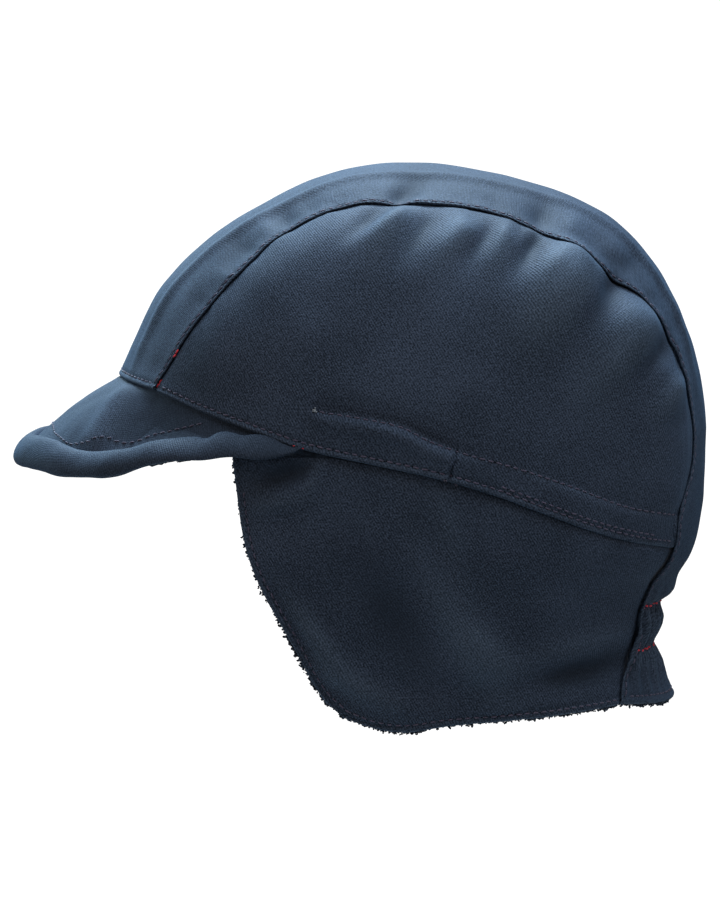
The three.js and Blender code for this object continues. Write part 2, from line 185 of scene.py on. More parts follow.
# The ear flap's front edge and its hem in side view.
FLAP_FRONT = Table(
    ("y", "z"),
    [
        (-67.5, 1.5),
        (-65.4, -16),
        (-62.8, -34),
        (-58, -49),
        (-46, -71),
        (-34, -92),
        (-26, -99.5),
    ],
)
FLAP_HEM = Table(
    ("y", "z"),
    [
        (-26, -99.5),
        (-15, -103.5),
        (-4, -105),
        (13, -102.9),
        (45, -101.2),
        (77, -99.2),
    ],
)
# Soft folds: the middle in side view, the length and width, the length's turn from level in
# degrees, and the height, which is negative in a hollow.
FOLDS = Table(
    ("y", "z", "length", "width", "turn", "height"),
    [
        (-10, 78, 26, 7, 32, 1.2),
        (-16, 80, 24, 6, 38, -1.2),
        (21, 75, 22, 7, 27, 1.2),
        (35, 74, 16, 6, 46, -1.1),
        (50, 64, 18, 7, 44, 1.2),
        (62, 57, 16, 7, 70, -1),
        (76, 45, 24, 8, 42, 1.2),
        (90, 27, 18, 7, 42, 1.1),
        (-66, 69, 18, 9, 45, -1.2),
        (-47, 81, 16, 8, 30, -1),
        (2, 95, 20, 9, 0, -1.1),
        (48, 83, 18, 9, -35, -1.1),
        (74, 67, 18, 8, -50, -1.1),
        (-36, -73, 36, 9, -58, 1.3),
        (12, -29, 32, 10, -72, 1),
        (64, -85, 28, 12, 10, -1.4),
        (30, -78, 32, 12, -42, 1.2),
    ],
)
# More soft folds, which only the ear flaps have.
FLAP_FOLDS = Table(
    ("y", "z", "length", "width", "turn", "height"),
    [
        (-36, -70, 42, 9, -52, 2.2),
        (-44, -66, 42, 10, -55, -1.6),
        (-20, -88, 36, 10, -24, 1.8),
        (18, -70, 60, 16, -62, 2),
        (-8, -62, 60, 20, -62, -2),
        (-46.5, -9.5, 20, 8, 10, -3.4),
        (-50, -20, 18, 7, 14, 1.3),
        (-37, -10, 14, 6, 62, 1.6),
        (62, -84, 34, 9, 8, -2),
        (60, -75, 40, 9, 12, 1.2),
    ],
)
# Puckers that the strip's seam draws up, in side view: each runs from the seam at y, z to
# farY, farZ and fades. The width is half the pucker's, and a hollow's height is negative.
# All heights are multiplied by the depth.
PUCKER_DEPTH = 1.6
PUCKERS = Table(
    ("y", "z", "farY", "farZ", "width", "height"),
    [
        (-73, 50, -82, 52, 3.5, -0.9),
        (-65, 58, -73, 63, 3, 0.9),
        (-53, 70, -68, 71, 3.2, -1.1),
        (-49, 74, -57, 80, 2.6, 1.1),
        (-43, 78, -49, 84, 2.6, -1),
        (-32, 83, -40, 86, 2.4, -0.9),
        (-22, 86, -28, 88, 2.4, -0.6),
        (-11, 87, 5, 95, 2.6, -2.1),
        (33, 82, 29, 90, 3, -0.6),
        (43, 78, 53, 88, 3.6, -1.7),
        (54, 76, 63, 81, 3, 1.1),
        (65, 70, 69, 76, 2.4, -0.8),
        (70, 68, 77, 71, 2.4, 0.8),
        (76, 63, 85, 65, 3, -1.4),
        (84, 55, 91, 56, 3, 1),
        (94, 43, 99, 39, 3, -1),
        (-12, 87, -22, 72, 2.6, -0.8),
        (-1, 87, -17, 65, 3.4, 1.9),
        (9, 85, -6, 63, 3, -1.2),
        (21, 84, 6, 62, 4, 1.8),
        (31, 82, 18, 64, 2.8, -1.4),
        (38, 81, 25, 62, 3.4, 2.1),
        (48, 78, 36, 60, 3.2, -2.2),
        (65, 73, 38, 35, 8.5, 3.2),
        (79, 63, 58, 40, 4.4, -2.4),
        (90, 50, 60, 16, 6, 2.5),
        (98, 38, 78, 22, 3.8, -1.7),
        (101, 26, 86, 8, 4, 1.8),
        (101, 12, 91, 3, 3, -0.9),
    ],
)
# The peak's plan is half an ellipse. Its sections by the turn from the front: where they meet
# the crown, the rim's low and high level, the depth of its roll, how far the top bellies up,
# and the wall at the crown.
PEAK_CENTRE_Y = -41
PEAK_REACH = 108
PEAK_HALF_WIDTH = 84.5
PEAK = Table(
    ("turn", "seamY", "low", "high", "roll", "belly", "wall"),
    [
        (0, -108.6, -12, -1.2, 8, 1.9, 4.5),
        (15, -106.5, -12, -0.4, 8, 2.4, 4.5),
        (26, -102.5, -12.4, -0.6, 8, 2.8, 4.5),
        (36, -98, -13.3, -3.4, 8, 0.6, 4.5),
        (45, -93.5, -12.7, -3.1, 8, -3.2, 4.5),
        (52, -88, -11.2, -1.3, 7.5, -5.5, 4.5),
        (58, -82, -7.4, 1.7, 7, -6, 4),
        (64, -75, -5.1, 3.1, 6.5, -5.2, 4),
        (70, -68, -4.4, 4.4, 5.5, -3.8, 3.5),
        (76, -60, -2.8, 5.2, 4.5, -2.4, 3),
        (82, -52, -3.8, 4.2, 3.6, -1, 2.5),
        (87, -45, -1.8, 1.8, 3, 0, 2),
        (90, -41, 0.5, 2, 2.4, 0, 1.6),
    ],
)

# How far the cloth stands out, in millimetres, at a distance in from an edge.
CROWN_LAP = Table(
    ("distance", "height"),
    [(0, 0.5), (0.25, 0.9), (0.8, 1.1), (1.5, 0.95), (2.3, 0.35), (3.2, 0.55), (5.5, 0.3), (9, 0)],
)
STRIP_LAP = Table(
    ("distance", "height"),
    [(0, 0.3), (0.25, 0.6), (0.7, 0.7), (1.5, 0.2), (2.3, 0.4), (4.5, 0.2), (8, 0)],
)
PANEL_TUCK = Table(
    ("distance", "height"),
    [(-1.2, -0.9), (0, -0.8), (0.5, -0.65), (1.4, -0.3), (2.8, -0.08), (5, 0)],
)
# The panel swells beyond the seam that draws it in, more toward the back.
PANEL_SWELL = Table(
    ("distance", "height"),
    [(0, 0), (4, 0.9), (10, 2.4), (17, 3.8), (25, 4.3), (34, 3.7), (46, 2), (62, 0.4), (74, 0)],
)
SWELL_SHARE = Table(
    ("y", "share"),
    [(-94, 0.3), (-60, 0.45), (-30, 0.8), (0, 0.9), (24, 0.65), (55, 1.3), (75, 1.2), (95, 0.8)],
)
FLAP_TUCK = Table(
    ("distance", "height"),
    [(-1.6, -0.75), (0, -0.6), (1, -0.45), (2.6, -0.15), (5, 0)],
)
HEM_FOLD = Table(
    ("distance", "height"),
    [(0, -0.6), (0.3, -0.15), (1, 0.3), (2, 0.25), (3, -0.2), (4, 0.1), (7, 0)],
)
# The same across the casing's stitched row, above it and below it.
CASING_FOLD = Table(
    ("distance", "height"),
    [
        (-13, 0.2),
        (-8, 1),
        (-5, 1.8),
        (-2.6, 1.9),
        (-1.2, 1.1),
        (0, -0.6),
        (1, -0.9),
        (4, -0.5),
        (9, 0),
    ],
)
# How full that fold is along the casing.
CASING_FULLNESS = Table(
    ("y", "share"),
    [(-40, 0.7), (-20, 1.1), (0, 1.45), (12, 1.2), (16, 0.6), (60, 0.5), (96, 0.3)],
)
CASING_JOINT = ((14.4, -0.6), (11.2, -11.4))  # y, z of the top and foot of the casing's joint

LAP_FADE = 0.6  # how much flatter the crown's lower edge lies at the back
PEAK_DARKENING = 0.7  # how far the peak's cloth is made darker than the crown's, with its fold highlights held back
FOLD_LIGHT_HEIGHT = 2.2  # a fold this high gets the lightest painted highlight, one this deep the darkest painted shade
PLEAT_PITCH = 7  # from one pleat to the next at the elastic
PLEAT_DEPTH = 1.9
STRIP_UNDER = 1.2  # the panels run on under the strip's edge by this
CROWN_UNDER = 1.6  # the flap runs on under the crown's edge by this
STRIP_STITCH = 1.5  # topstitching in from the strip's edge
LAP_STITCH = 2.4  # topstitching in from the crown's lower edge
HEM_STITCH = 3.0  # topstitching in from the flap's edge
ELASTIC_ROWS = (-63.2, -80.8)  # levels of the two rows that hold the elastic
ELASTIC_REACH = 42.7  # how far those rows run to each side
TACKS = ((168.4, 166.6), (160.8, 159.0))  # stations of the red tacks in the strip's seam
CREASE_OUT = 23.5  # how far from the strip's middle it is creased on each side
CREASE_WIDTH = 3.2
CREASE_HEIGHT = 1.3


def millimetres(name, default, description):
    """A user's length, shown in millimetres."""
    return FloatProperty(name=name, default=default, min=0, unit="LENGTH", description=description)


def colour(name, default, description):
    """A user's colour."""
    return FloatVectorProperty(
        name=name, default=default, size=3, min=0, max=1, subtype="COLOR", description=description
    )


class CapSizes(bpy.types.PropertyGroup):
    """Sizes that a user would change."""

    cloth_wall: millimetres("Cloth wall", 0.9 * MM, "Thickness of the twill")
    pile_wall: millimetres("Pile wall", 3 * MM, "Thickness of the pile lining")
    lining_gap: millimetres("Lining gap", 0.35 * MM, "Space between the twill and the pile")
    stitch_length: millimetres("Stitch length", 2.3 * MM, "Length of the thread that shows")
    stitch_pitch: millimetres("Stitch pitch", 3.2 * MM, "From one stitch to the next")
    thread_radius: millimetres("Thread radius", 0.26 * MM, "Half the thread's thickness")
    twill_pitch: millimetres("Twill pitch", 0.92 * MM, "From one twill line to the next")
    tuft_length: millimetres("Tuft length", 2 * MM, "Usual length of a curl of the pile")
    tufts_per_side: IntProperty(
        name="Tufts per side", default=1150, min=0, description="Curls at a flap's edge"
    )


class CapColours(bpy.types.PropertyGroup):
    """Colours that a user would change."""

    twill: colour("Twill", (0.0305, 0.0425, 0.0665), "The cap's cloth")
    # The next colour is the cloth where it is rubbed, and also the painted highlight on fold
    # ridges.
    twill_worn_and_lit: colour("Worn twill", (0.05, 0.072, 0.106), "The cloth where it is rubbed")
    pile: colour("Pile", (0.012, 0.016, 0.024), "The lining")
    thread: colour("Thread", (0.052, 0.047, 0.092), "The topstitching")
    red_thread: colour("Red thread", (0.55, 0.012, 0.03), "The rows at the elastic")
    floor: colour("Floor", (0.86, 0.86, 0.86), "The studio floor")


crown_radius = CROWN.curve("angle", "radius")
crown_half = CROWN.curve("angle", "half")
nape_back = NAPE.curve("level", "back")
nape_side = NAPE.curve("level", "side")
nape_half = NAPE.curve("level", "half")
nape_bulge = NAPE.curve("level", "bulge")
crown_edge = CROWN_EDGE.curve("y", "z")
casing_edge = CASING_EDGE.curve("y", "z")
casing_fullness = CASING_FULLNESS.curve("y", "share")
peak_column = {name: PEAK.curve("turn", name) for name in PEAK.columns[1:]}


def smoothstep(x, low, high):
    """0 below low, 1 above high and a smooth rise between them."""
    t = np.clip((x - low) / (high - low), 0, 1)
    return t * t * (3 - 2 * t)


def bump(x, width):
    """A soft hump of height 1 about 0."""
    return np.exp(-((x / width) ** 2))


def unit(vectors):
    """Vectors of the same ways and of length 1."""
    return vectors / np.linalg.norm(vectors, axis=-1, keepdims=True)


def read_along(values, run, at):
    """Rows of values at lengths along a line, where run is the length at each row."""
    return np.stack([np.interp(at, run, column) for column in values.T], -1)


def profile(table, distance):
    """How far the cloth stands out at a distance, by a table of distances and heights."""
    return table.curve("distance", "height")(distance)


def ripples(points, wavelength, seed, count=14):
    """Soft seeded undulation of about -1 to 1 at points, in millimetres."""
    draw = np.random.default_rng(seed)
    total = np.zeros(points.shape[:-1])
    for _ in range(count):
        way = draw.normal(size=3)
        way *= 2 * math.pi / (wavelength * draw.uniform(0.7, 1.6)) / np.linalg.norm(way)
        total += np.sin(points @ way + draw.uniform(0, 2 * math.pi))
    return total / math.sqrt(count / 2) / 1.6


def length_share(y, z):
    """How far out a side-view point is: 0 at the head's middle, 1 at the outline."""
    above = np.hypot(y, z) / crown_radius(np.degrees(np.arctan2(np.maximum(z, 0), y)))
    below = np.where(y >= 0, y / nape_back(z), -y / FRONT_REACH)
    return np.where(z >= 0, above, below)


def half_width(z):
    """Half the cap's width at a level."""
    return np.where(z >= 0, HALF_WIDTH, nape_side(z))


def on_surface(y, z):
    """Points of the cap's plain surface at side-view positions, on the wearer's left."""
    rest = np.maximum(0, 1 - length_share(y, z) ** LENGTH_POWER)
    return np.stack([half_width(z) * rest ** (1 / SIDE_POWER), y, z], -1)


def surface_level(points):
    """1 on the plain surface, less inside it."""
    x, y, z = points[..., 0], points[..., 1], points[..., 2]
    return np.abs(x / half_width(z)) ** SIDE_POWER + length_share(y, z) ** LENGTH_POWER


def outward(points, step=0.5):
    """The way out of the plain surface at points on it."""
    axes = np.eye(3) * step
    slope = [surface_level(points + axis) - surface_level(points - axis) for axis in axes]
    return unit(np.stack(slope, -1))


def strip_half(station):
    """Half the centre strip's width. A station is a crown angle, or a level below zero."""
    on_crown = crown_half(np.maximum(station, 0))
    on_nape = nape_half(np.minimum(station, 0))
    return np.where(station >= 0, on_crown, on_nape)


def strip_point(station, x):
    """Points of the strip's plain surface at stations and distances across."""
    station, x = np.broadcast_arrays(np.asarray(station, float), np.asarray(x, float))
    angle = np.radians(np.maximum(station, 0))
    crown_rest = 1 - np.abs(x / HALF_WIDTH) ** SIDE_POWER
    rho = crown_radius(np.maximum(station, 0)) * crown_rest ** (1 / LENGTH_POWER)
    level = np.minimum(station, 0)
    down = np.clip((level - SEAM_BACK) / (HEM_MIDDLE - SEAM_BACK), 0, 1)
    at_seam = np.minimum(1, np.abs(x) / strip_half(station))
    z = level + HEM_RISE * down**2 * at_seam**2
    nape_rest = np.maximum(0, 1 - np.abs(x / half_width(z)) ** SIDE_POWER)
    y = nape_back(z) * nape_rest ** (1 / LENGTH_POWER)
    on_crown = station >= 0
    y = np.where(on_crown, rho * np.cos(angle), y)
    z = np.where(on_crown, rho * np.sin(angle), z)
    return np.stack([x, y, z], -1)


def fold_relief(points, table=FOLDS):
    """The soft folds of a table, by default those that the CAD has too."""
    relief = np.zeros(points.shape[:-1])
    for fold in table.named():
        turn = math.radians(fold["turn"])
        dy = points[..., 1] - fold["y"]
        dz = points[..., 2] - fold["z"]
        along = (dy * math.cos(turn) + dz * math.sin(turn)) / (fold["length"] / 2)
        across = (dz * math.cos(turn) - dy * math.sin(turn)) / (fold["width"] / 2)
        relief += fold["height"] * np.exp(-(along**2) - across**2)
    return relief


def flap_folds(points, edge_distance):
    """All the soft folds of an ear flap, which fade at its edge."""
    return fold_relief(points) + fold_relief(points, FLAP_FOLDS) * smoothstep(edge_distance, 0, 6)


def pucker_relief(points):
    """The puckers that run out from the strip's seam."""
    relief = np.zeros(points.shape[:-1])
    for pucker in PUCKERS.named():
        run_y, run_z = pucker["farY"] - pucker["y"], pucker["farZ"] - pucker["z"]
        length = math.hypot(run_y, run_z)
        dy = points[..., 1] - pucker["y"]
        dz = points[..., 2] - pucker["z"]
        along = (dy * run_y + dz * run_z) / length**2
        across = (dz * run_y - dy * run_z) / length
        width = pucker["width"] * (1 + 0.35 * np.clip(along, 0, 1.3))
        fade = np.where(along < 0, bump(along * length, 3), (1 - smoothstep(along, 0.15, 1.3)))
        start = 0.04 + 0.96 * smoothstep(along * length, 0, 10)
        relief += PUCKER_DEPTH * pucker["height"] * start * fade * bump(across, width)
    return relief


def nape_relief(points):
    """The nape's bulges."""
    z = points[..., 2]
    middle = 1 - smoothstep(np.abs(points[..., 0]), 24, 46)
    behind = smoothstep(points[..., 1], 20, 60)
    return np.where(z < 0, nape_bulge(z), 0) * middle * behind


def pleat_relief(points):
    """The folds that the elastic gathers at the nape."""
    reach = np.abs(points[..., 0])
    z = points[..., 2]
    behind = smoothstep(points[..., 1], 20, 60)
    inside = nape_half(np.minimum(z, 0)) - reach
    sway = 0.9 * np.sin(z / 6 + reach / 9) + 0.5 * np.sin(z / 2.9)
    gathers = np.cos(2 * math.pi * (inside + sway) / PLEAT_PITCH) + 0.35 * np.cos(inside + z / 11)
    held = bump(z + 72, 10) + 0.55 * smoothstep(-z, 78, 84) * (1 - smoothstep(-z, 84, 101))
    edge = smoothstep(inside, -1.5, 1.5) + 0.3 * (1 - smoothstep(-inside, 0, 14)) * (inside < 0)
    return PLEAT_DEPTH * gathers * held * edge * behind


def gather_rows(points):
    """The two stitched rows of the elastic pull the cloth in."""
    z = points[..., 2]
    edge = 1 - smoothstep(np.abs(points[..., 0]), 38, 44)
    behind = smoothstep(points[..., 1], 40, 60)
    return -0.5 * sum(bump(z - row, 1.2) for row in ELASTIC_ROWS) * edge * behind


def running_length(points, axis):
    """Length along a grid's lines, from their start."""
    steps = np.linalg.norm(np.diff(points, axis=axis), axis=-1)
    start = np.zeros_like(np.take(steps, [0], axis=axis))
    return np.concatenate([start, np.cumsum(steps, axis=axis)], axis=axis)


def graded(total, step, low=True, high=True):
    """Positions from 0 to total, closer together toward the edges that are asked for."""
    close = np.array([0, 0.2, 0.45, 0.8, 1.2, 1.65, 2.15, 2.7, 3.4, 4.3, 5.4])
    start = close if low else np.array([0.0])
    end = total - close[::-1] if high else np.array([float(total)])
    count = max(2, int(round((end[0] - start[-1]) / step)) + 1)
    middle = np.linspace(start[-1], end[0], count)
    return np.concatenate([start[:-1], middle, end[1:]])


def side_curve(table):
    """A smooth side-view curve through a table of y and z, read by share of its length."""
    rows = np.stack([table.column("y"), table.column("z")], -1)
    rows = np.concatenate([[2 * rows[0] - rows[1]], rows, [2 * rows[-1] - rows[-2]]])
    samples = []
    for p0, p1, p2, p3 in zip(rows, rows[1:], rows[2:], rows[3:]):
        t0, t1, t2 = (math.sqrt(np.linalg.norm(b - a)) for a, b in ((p0, p1), (p1, p2), (p2, p3)))
        leave = t1 * ((p1 - p0) / t0 - (p2 - p0) / (t0 + t1) + (p2 - p1) / t1)
        arrive = t1 * ((p2 - p1) / t1 - (p3 - p1) / (t1 + t2) + (p3 - p2) / t2)
        for t in np.linspace(0, 1, 40, endpoint=False):
            bend = -3 * p1 + 3 * p2 - 2 * leave - arrive
            twist = 2 * p1 - 2 * p2 + leave + arrive
            samples.append(p1 + leave * t + bend * t**2 + twist * t**3)
    samples = np.array(samples + [rows[-2]])
    length = running_length(samples, 0)
    share = length / length[-1]
    return lambda at: read_along(samples, share, at)


def to_frame(points):
    """From millimetres about the head centre to metres in the part's own frame."""
    return (points + np.array([0, 0, HEAD_CENTRE_Z])) * MM


def grid_faces(rows, columns, flipped=False):
    """The quads of a grid, with their outsides toward the viewer, or away if flipped."""
    index = np.arange(rows * columns).reshape(rows, columns)
    quads = np.stack([index[:-1, :-1], index[:-1, 1:], index[1:, 1:], index[1:, :-1]], -1)
    quads = quads.reshape(-1, 4)
    return quads[:, ::-1] if flipped else quads


def activate(piece):
    """Selects one piece alone and makes it the active one."""
    bpy.ops.object.select_all(action="DESELECT")
    piece.select_set(True)
    bpy.context.view_layer.objects.active = piece


def place_mesh(name, mesh):
    """A new smooth piece of a mesh, selected and active."""
    piece = bpy.data.objects.new(name, mesh)
    bpy.context.scene.collection.objects.link(piece)
    activate(piece)
    bpy.ops.object.shade_smooth()
    return piece


def mesh_object(name, points, faces, uv=None, **wear_and_painted_fold_shading):
    """A new piece from points in metres, with its cloth map, its rubbed edges and the painted
    highlight and shade of its folds.
    """
    mesh = bpy.data.meshes.new(name)
    mesh.from_pydata(points.reshape(-1, 3).tolist(), [], faces.tolist())
    corners = np.empty(len(mesh.loops), np.int32)
    mesh.loops.foreach_get("vertex_index", corners)
    if uv is not None:
        layer = mesh.uv_layers.new(name="cloth")
        layer.data.foreach_set("uv", uv.reshape(-1, 2)[corners].astype(np.float32).ravel())
    for kind, values in wear_and_painted_fold_shading.items():
        layer = mesh.attributes.new(kind, "FLOAT", "POINT")
        layer.data.foreach_set("value", values.astype(np.float32).ravel())
    mesh.validate()
    return place_mesh(name, mesh)


def thicken(piece, wall):
    """Gives a sheet its wall on the inside."""
    activate(piece)
    solidify = piece.modifiers.new("wall", "SOLIDIFY")
    solidify.thickness = wall
    solidify.offset = -1
    bpy.ops.object.modifier_apply(modifier=solidify.name)


def dress(piece, finish, replaced=()):
    """Gives a piece its material and ties it to the frame."""
    piece.data.materials.clear()
    piece.data.materials.append(finish)
    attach(piece, BODY)
    if replaced:
        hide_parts(*replaced)


def mirrored(points, hand):
    """Points on the wearer's left, or their mirror image on the right."""
    return points * np.array([hand, 1, 1])


def arc_map(points, hand):
    """A cloth map in metres: across and up the cloth as seen from outside."""
    y, z = points[..., 1], points[..., 2]
    steps = 16
    across = np.zeros_like(y)
    up = np.zeros_like(z)
    for k in range(steps):
        low, high = k / steps, (k + 1) / steps
        for total, start, end in (
            (across, on_surface(y * low, z), on_surface(y * high, z)),
            (up, on_surface(y, z * low), on_surface(y, z * high)),
        ):
            total += np.linalg.norm(end - start, axis=-1)
    return np.stack([across * np.sign(y) * hand, up * np.sign(z)], -1) * MM


def make_cloth(name, points, relief, uv, edge, fold, hand, finish, replaced):
    """A sheet of twill over a grid of the plain surface, with its relief and wall."""
    outer = mirrored(points + outward(points) * relief[..., None], hand)
    faces = grid_faces(*points.shape[:2], flipped=hand < 0)
    verts = to_frame(outer)
    # Fold heights set the painted highlight on ridges and the painted shade in hollows.
    wear_and_painted_fold_light = np.clip(fold / FOLD_LIGHT_HEIGHT, -1, 1)
    piece = mesh_object(name, verts, faces, uv, edge=edge, fold=wear_and_painted_fold_light)
    BIN.setdefault("surfaces", []).append((verts.reshape(-1, 3), faces))
    thicken(piece, bpy.context.scene.cap_sizes.cloth_wall)
    dress(piece, finish, replaced)
    return piece


def seam_puckers(run, distance, seed):
    """Small gathers that a seam's thread draws up, across a seam, by length along it."""
    line = np.stack([run, np.zeros_like(run), np.zeros_like(run)], -1)
    slow = ripples(line, 11, seed)
    quick = ripples(line, 5, seed + 1)
    reach = np.maximum(distance, 0)
    return (0.34 * slow + 0.16 * quick) * np.exp(-reach / 7) * smoothstep(reach, 0, 1.5)


def stitch_dimples(run, distance, row):
    """Each stitch of a row pulls the cloth down a little at its two ends."""
    pitch = bpy.context.scene.cap_sizes.stitch_pitch / MM
    return 0.1 * np.cos(2 * math.pi * run / pitch) * bump(distance - row, 0.9)


def soft_relief(points, seed):
    """Broad unevenness of worn cloth."""
    return 0.32 * ripples(points, 46, seed) + 0.13 * ripples(points, 17, seed + 7)


def lap_share(points):
    """How full the crown's lower edge is, which lies flatter toward the back."""
    return 1 - LAP_FADE * smoothstep(points[..., 1], 30, 85)


def strip_stations():
    """Stations along the strip from the peak to the hem, closer together at the nape."""
    fine = np.concatenate([np.linspace(SEAM_FRONT, 0, 500), np.linspace(-0.2, HEM_MIDDLE, 400)])
    run = running_length(strip_point(fine, 0.0), 0)
    nape = np.interp(44, -fine, run)
    upper = graded(nape, 1.7, high=False)
    lower = nape + graded(run[-1] - nape, 1.05, low=False)
    return np.interp(np.concatenate([upper, lower[1:]]), run, fine)


def strip_grid(stations, across_step):
    """Plain points of the strip, and distances from its seams, front and hem."""
    usual_half = 45
    across = graded(2 * usual_half, across_step) / usual_half - 1
    x = across[None, :] * strip_half(stations)[:, None]
    points = strip_point(stations[:, None], x)
    over = running_length(points, 1)
    seam = np.minimum(over, over[:, -1:] - over)
    down = running_length(points, 0)
    return points, seam, down, down[-1:] - down, over


def build_strip(finish):
    """The strip from the peak over the crown and down the nape."""
    points, seam, front, hem, over = strip_grid(strip_stations(), 1.0)
    crease = CREASE_HEIGHT * bump(np.abs(points[..., 0]) - CREASE_OUT, CREASE_WIDTH)
    crease = crease * smoothstep(points[..., 2], 10, 50)
    lap = profile(STRIP_LAP, seam)
    brow = profile(CROWN_LAP, front)
    hem_fold = profile(HEM_FOLD, hem)
    folds = fold_relief(points) + pucker_relief(points)
    pleats = pleat_relief(points)
    relief = folds + pleats + nape_relief(points) + gather_rows(points) + crease
    relief += lap * smoothstep(front, 0, 1.5) + brow + hem_fold + soft_relief(points, 11)
    own_gathers = 400 * (points[..., 0] > 0)  # so that the two seams aren't drawn up alike
    relief += seam_puckers(front + own_gathers, seam, 21)
    relief += stitch_dimples(front, seam, STRIP_STITCH)
    relief += stitch_dimples(over, front, LAP_STITCH)
    uv = np.stack([over - over[:, -1:] / 2, -front], -1) * MM
    edge = np.maximum(bump(seam, 1.6), np.maximum(bump(front, 1.8), bump(hem, 1.6)))
    # The pleats, like the folds, get painted highlight on their ridges and painted shade in their
    # hollows.
    folds = folds + pleats
    replaced = ["centre_strip"]
    piece = make_cloth("strip_cloth", points, relief, uv, edge, folds, 1, finish, replaced)


def panel_grid():
    """Plain points of the left side panel in columns from the crown's edge to the strip."""
    fine = np.concatenate([np.linspace(SEAM_FRONT, 0, 500), np.linspace(-0.2, SEAM_BACK, 150)])
    seam_line = strip_point(fine, strip_half(fine))
    run = running_length(seam_line, 0)
    shares = np.linspace(0.004, 0.996, 176)
    at_joint = np.linspace(0.520, 0.572, 42)  # closer together at the casing's joint
    elsewhere = (shares < at_joint[0] - 0.002) | (shares > at_joint[-1] + 0.002)
    shares = np.sort(np.concatenate([shares[elsewhere], at_joint]))
    stations = np.interp(shares * run[-1], run, fine)
    tops = strip_point(stations, strip_half(stations) - STRIP_UNDER)
    foot_y = seam_line[0, 1] + (seam_line[-1, 1] - seam_line[0, 1]) * shares
    feet = np.stack([np.zeros_like(foot_y), foot_y, crown_edge(foot_y)], -1)
    height = np.maximum(tops[:, 2] - feet[:, 2], 0.01)
    band = np.clip((casing_edge(foot_y) - feet[:, 2]) / height, 0.06, 0.4)
    usual_band = 12.5
    usual_rest = 90
    below = graded(usual_band, 0.95) / usual_band
    above = graded(usual_rest, 1.45) / usual_rest
    rows = [band * share for share in below] + [band + (1 - band) * share for share in above[1:]]
    lift = np.array(rows)[..., None]
    side_view = feet[None] * (1 - lift) + tops[None] * lift
    points = on_surface(side_view[..., 1], side_view[..., 2])
    up = running_length(points, 0)
    along = running_length(points, 1)
    return points, up, up[-1:] - up - STRIP_UNDER, along


def casing_relief(points):
    """The band folded and stitched along the panel's lower edge, with its joint."""
    y, z = points[..., 1], points[..., 2]
    above_row = z - casing_edge(y)
    height = profile(CASING_FOLD, above_row)
    started = smoothstep(y, CASING_START - 3, CASING_START + 2)
    (top_y, top_z), (foot_y, foot_z) = CASING_JOINT
    lean = (top_y - foot_y) / (top_z - foot_z)
    past = y - (foot_y + (z - foot_z) * lean) + 0.45 * np.sin(z * 1.5) * bump(z - foot_z - 4, 5)
    inside = smoothstep(z, foot_z - 0.5, foot_z + 1) * (1 - smoothstep(z, top_z - 0.5, top_z + 0.8))
    groove = -1.1 * bump(past, 0.55) + 0.5 * bump(past + 1.5, 1.1) + 0.2 * bump(past - 1.4, 0.9)
    return height * casing_fullness(y) * started + groove * inside


def build_panel(hand, side_name, finish):
    """A side of the crown."""
    points, foot, seam, along = panel_grid()
    folds = fold_relief(points) + pucker_relief(points)
    relief = folds + nape_relief(points) + casing_relief(points)
    swell = profile(PANEL_SWELL, seam)
    relief += swell * SWELL_SHARE.curve("y", "share")(points[..., 1]) * smoothstep(foot, 2, 30)
    relief += profile(CROWN_LAP, foot) * lap_share(points)
    relief += profile(PANEL_TUCK, seam)
    relief += soft_relief(points, 31 if hand > 0 else 37)
    relief += seam_puckers(along, seam, 41 if hand > 0 else 47)
    relief += 0.5 * seam_puckers(along, foot, 51)
    relief += stitch_dimples(along, foot, LAP_STITCH)
    relief += stitch_dimples(along, casing_edge(points[..., 1]) - points[..., 2], 0)
    edge = np.maximum(bump(foot, 1.8), 0.4 * bump(seam - 3, 3))
    uv = arc_map(points, hand)
    name = "panel_cloth_" + side_name
    replaced = ["side_panel_" + side_name]
    piece = make_cloth(name, points, relief, uv, edge, folds, hand, finish, replaced)


def flap_top(y):
    """The ear flap's upper edge, which runs below the peak's inner edge at the front."""
    return crown_edge(y) - 4 * (1 - smoothstep(y, -52, -28))


def flap_grid(along_step, down_step, under_seam, under_crown):
    """Plain points of the left flap, hem row first, and distances from its edges."""
    front = side_curve(FLAP_FRONT)
    hem = side_curve(FLAP_HEM)
    usual_length = 165
    usual_drop = 104
    u = graded(usual_length, along_step) / usual_length
    v = graded(usual_drop, down_step) / usual_drop
    seam_level = SEAM_BACK + (HEM_MIDDLE - SEAM_BACK) * v
    seam = strip_point(seam_level, strip_half(seam_level) - under_seam)[:, 1:]
    top_y = front(0.0)[0] + (seam[0, 0] - front(0.0)[0]) * u
    top = np.stack([top_y, flap_top(top_y) + under_crown], -1)
    seam[:, 1] += under_crown * (1 - v)
    hem_line = hem(u) + (seam[-1] - hem(1.0)) * u[:, None]
    front_line = front(v)
    front_line[:, 1] += under_crown * (1 - v)
    uu, vv = u[None, :, None], v[:, None, None]
    grid = (1 - vv) * top[None] + vv * hem_line[None]
    grid = grid + (1 - uu) * front_line[:, None] + uu * seam[:, None]
    corners = (1 - uu) * (1 - vv) * top[0] + uu * (1 - vv) * top[-1]
    grid = grid - corners - (1 - uu) * vv * hem_line[0] - uu * vv * hem_line[-1]
    grid = grid[::-1]
    points = on_surface(grid[..., 0], grid[..., 1])
    up = running_length(points, 0)
    along = running_length(points, 1)
    return points, up, up[-1:] - up - under_crown, along, along[:, -1:] - along - under_seam


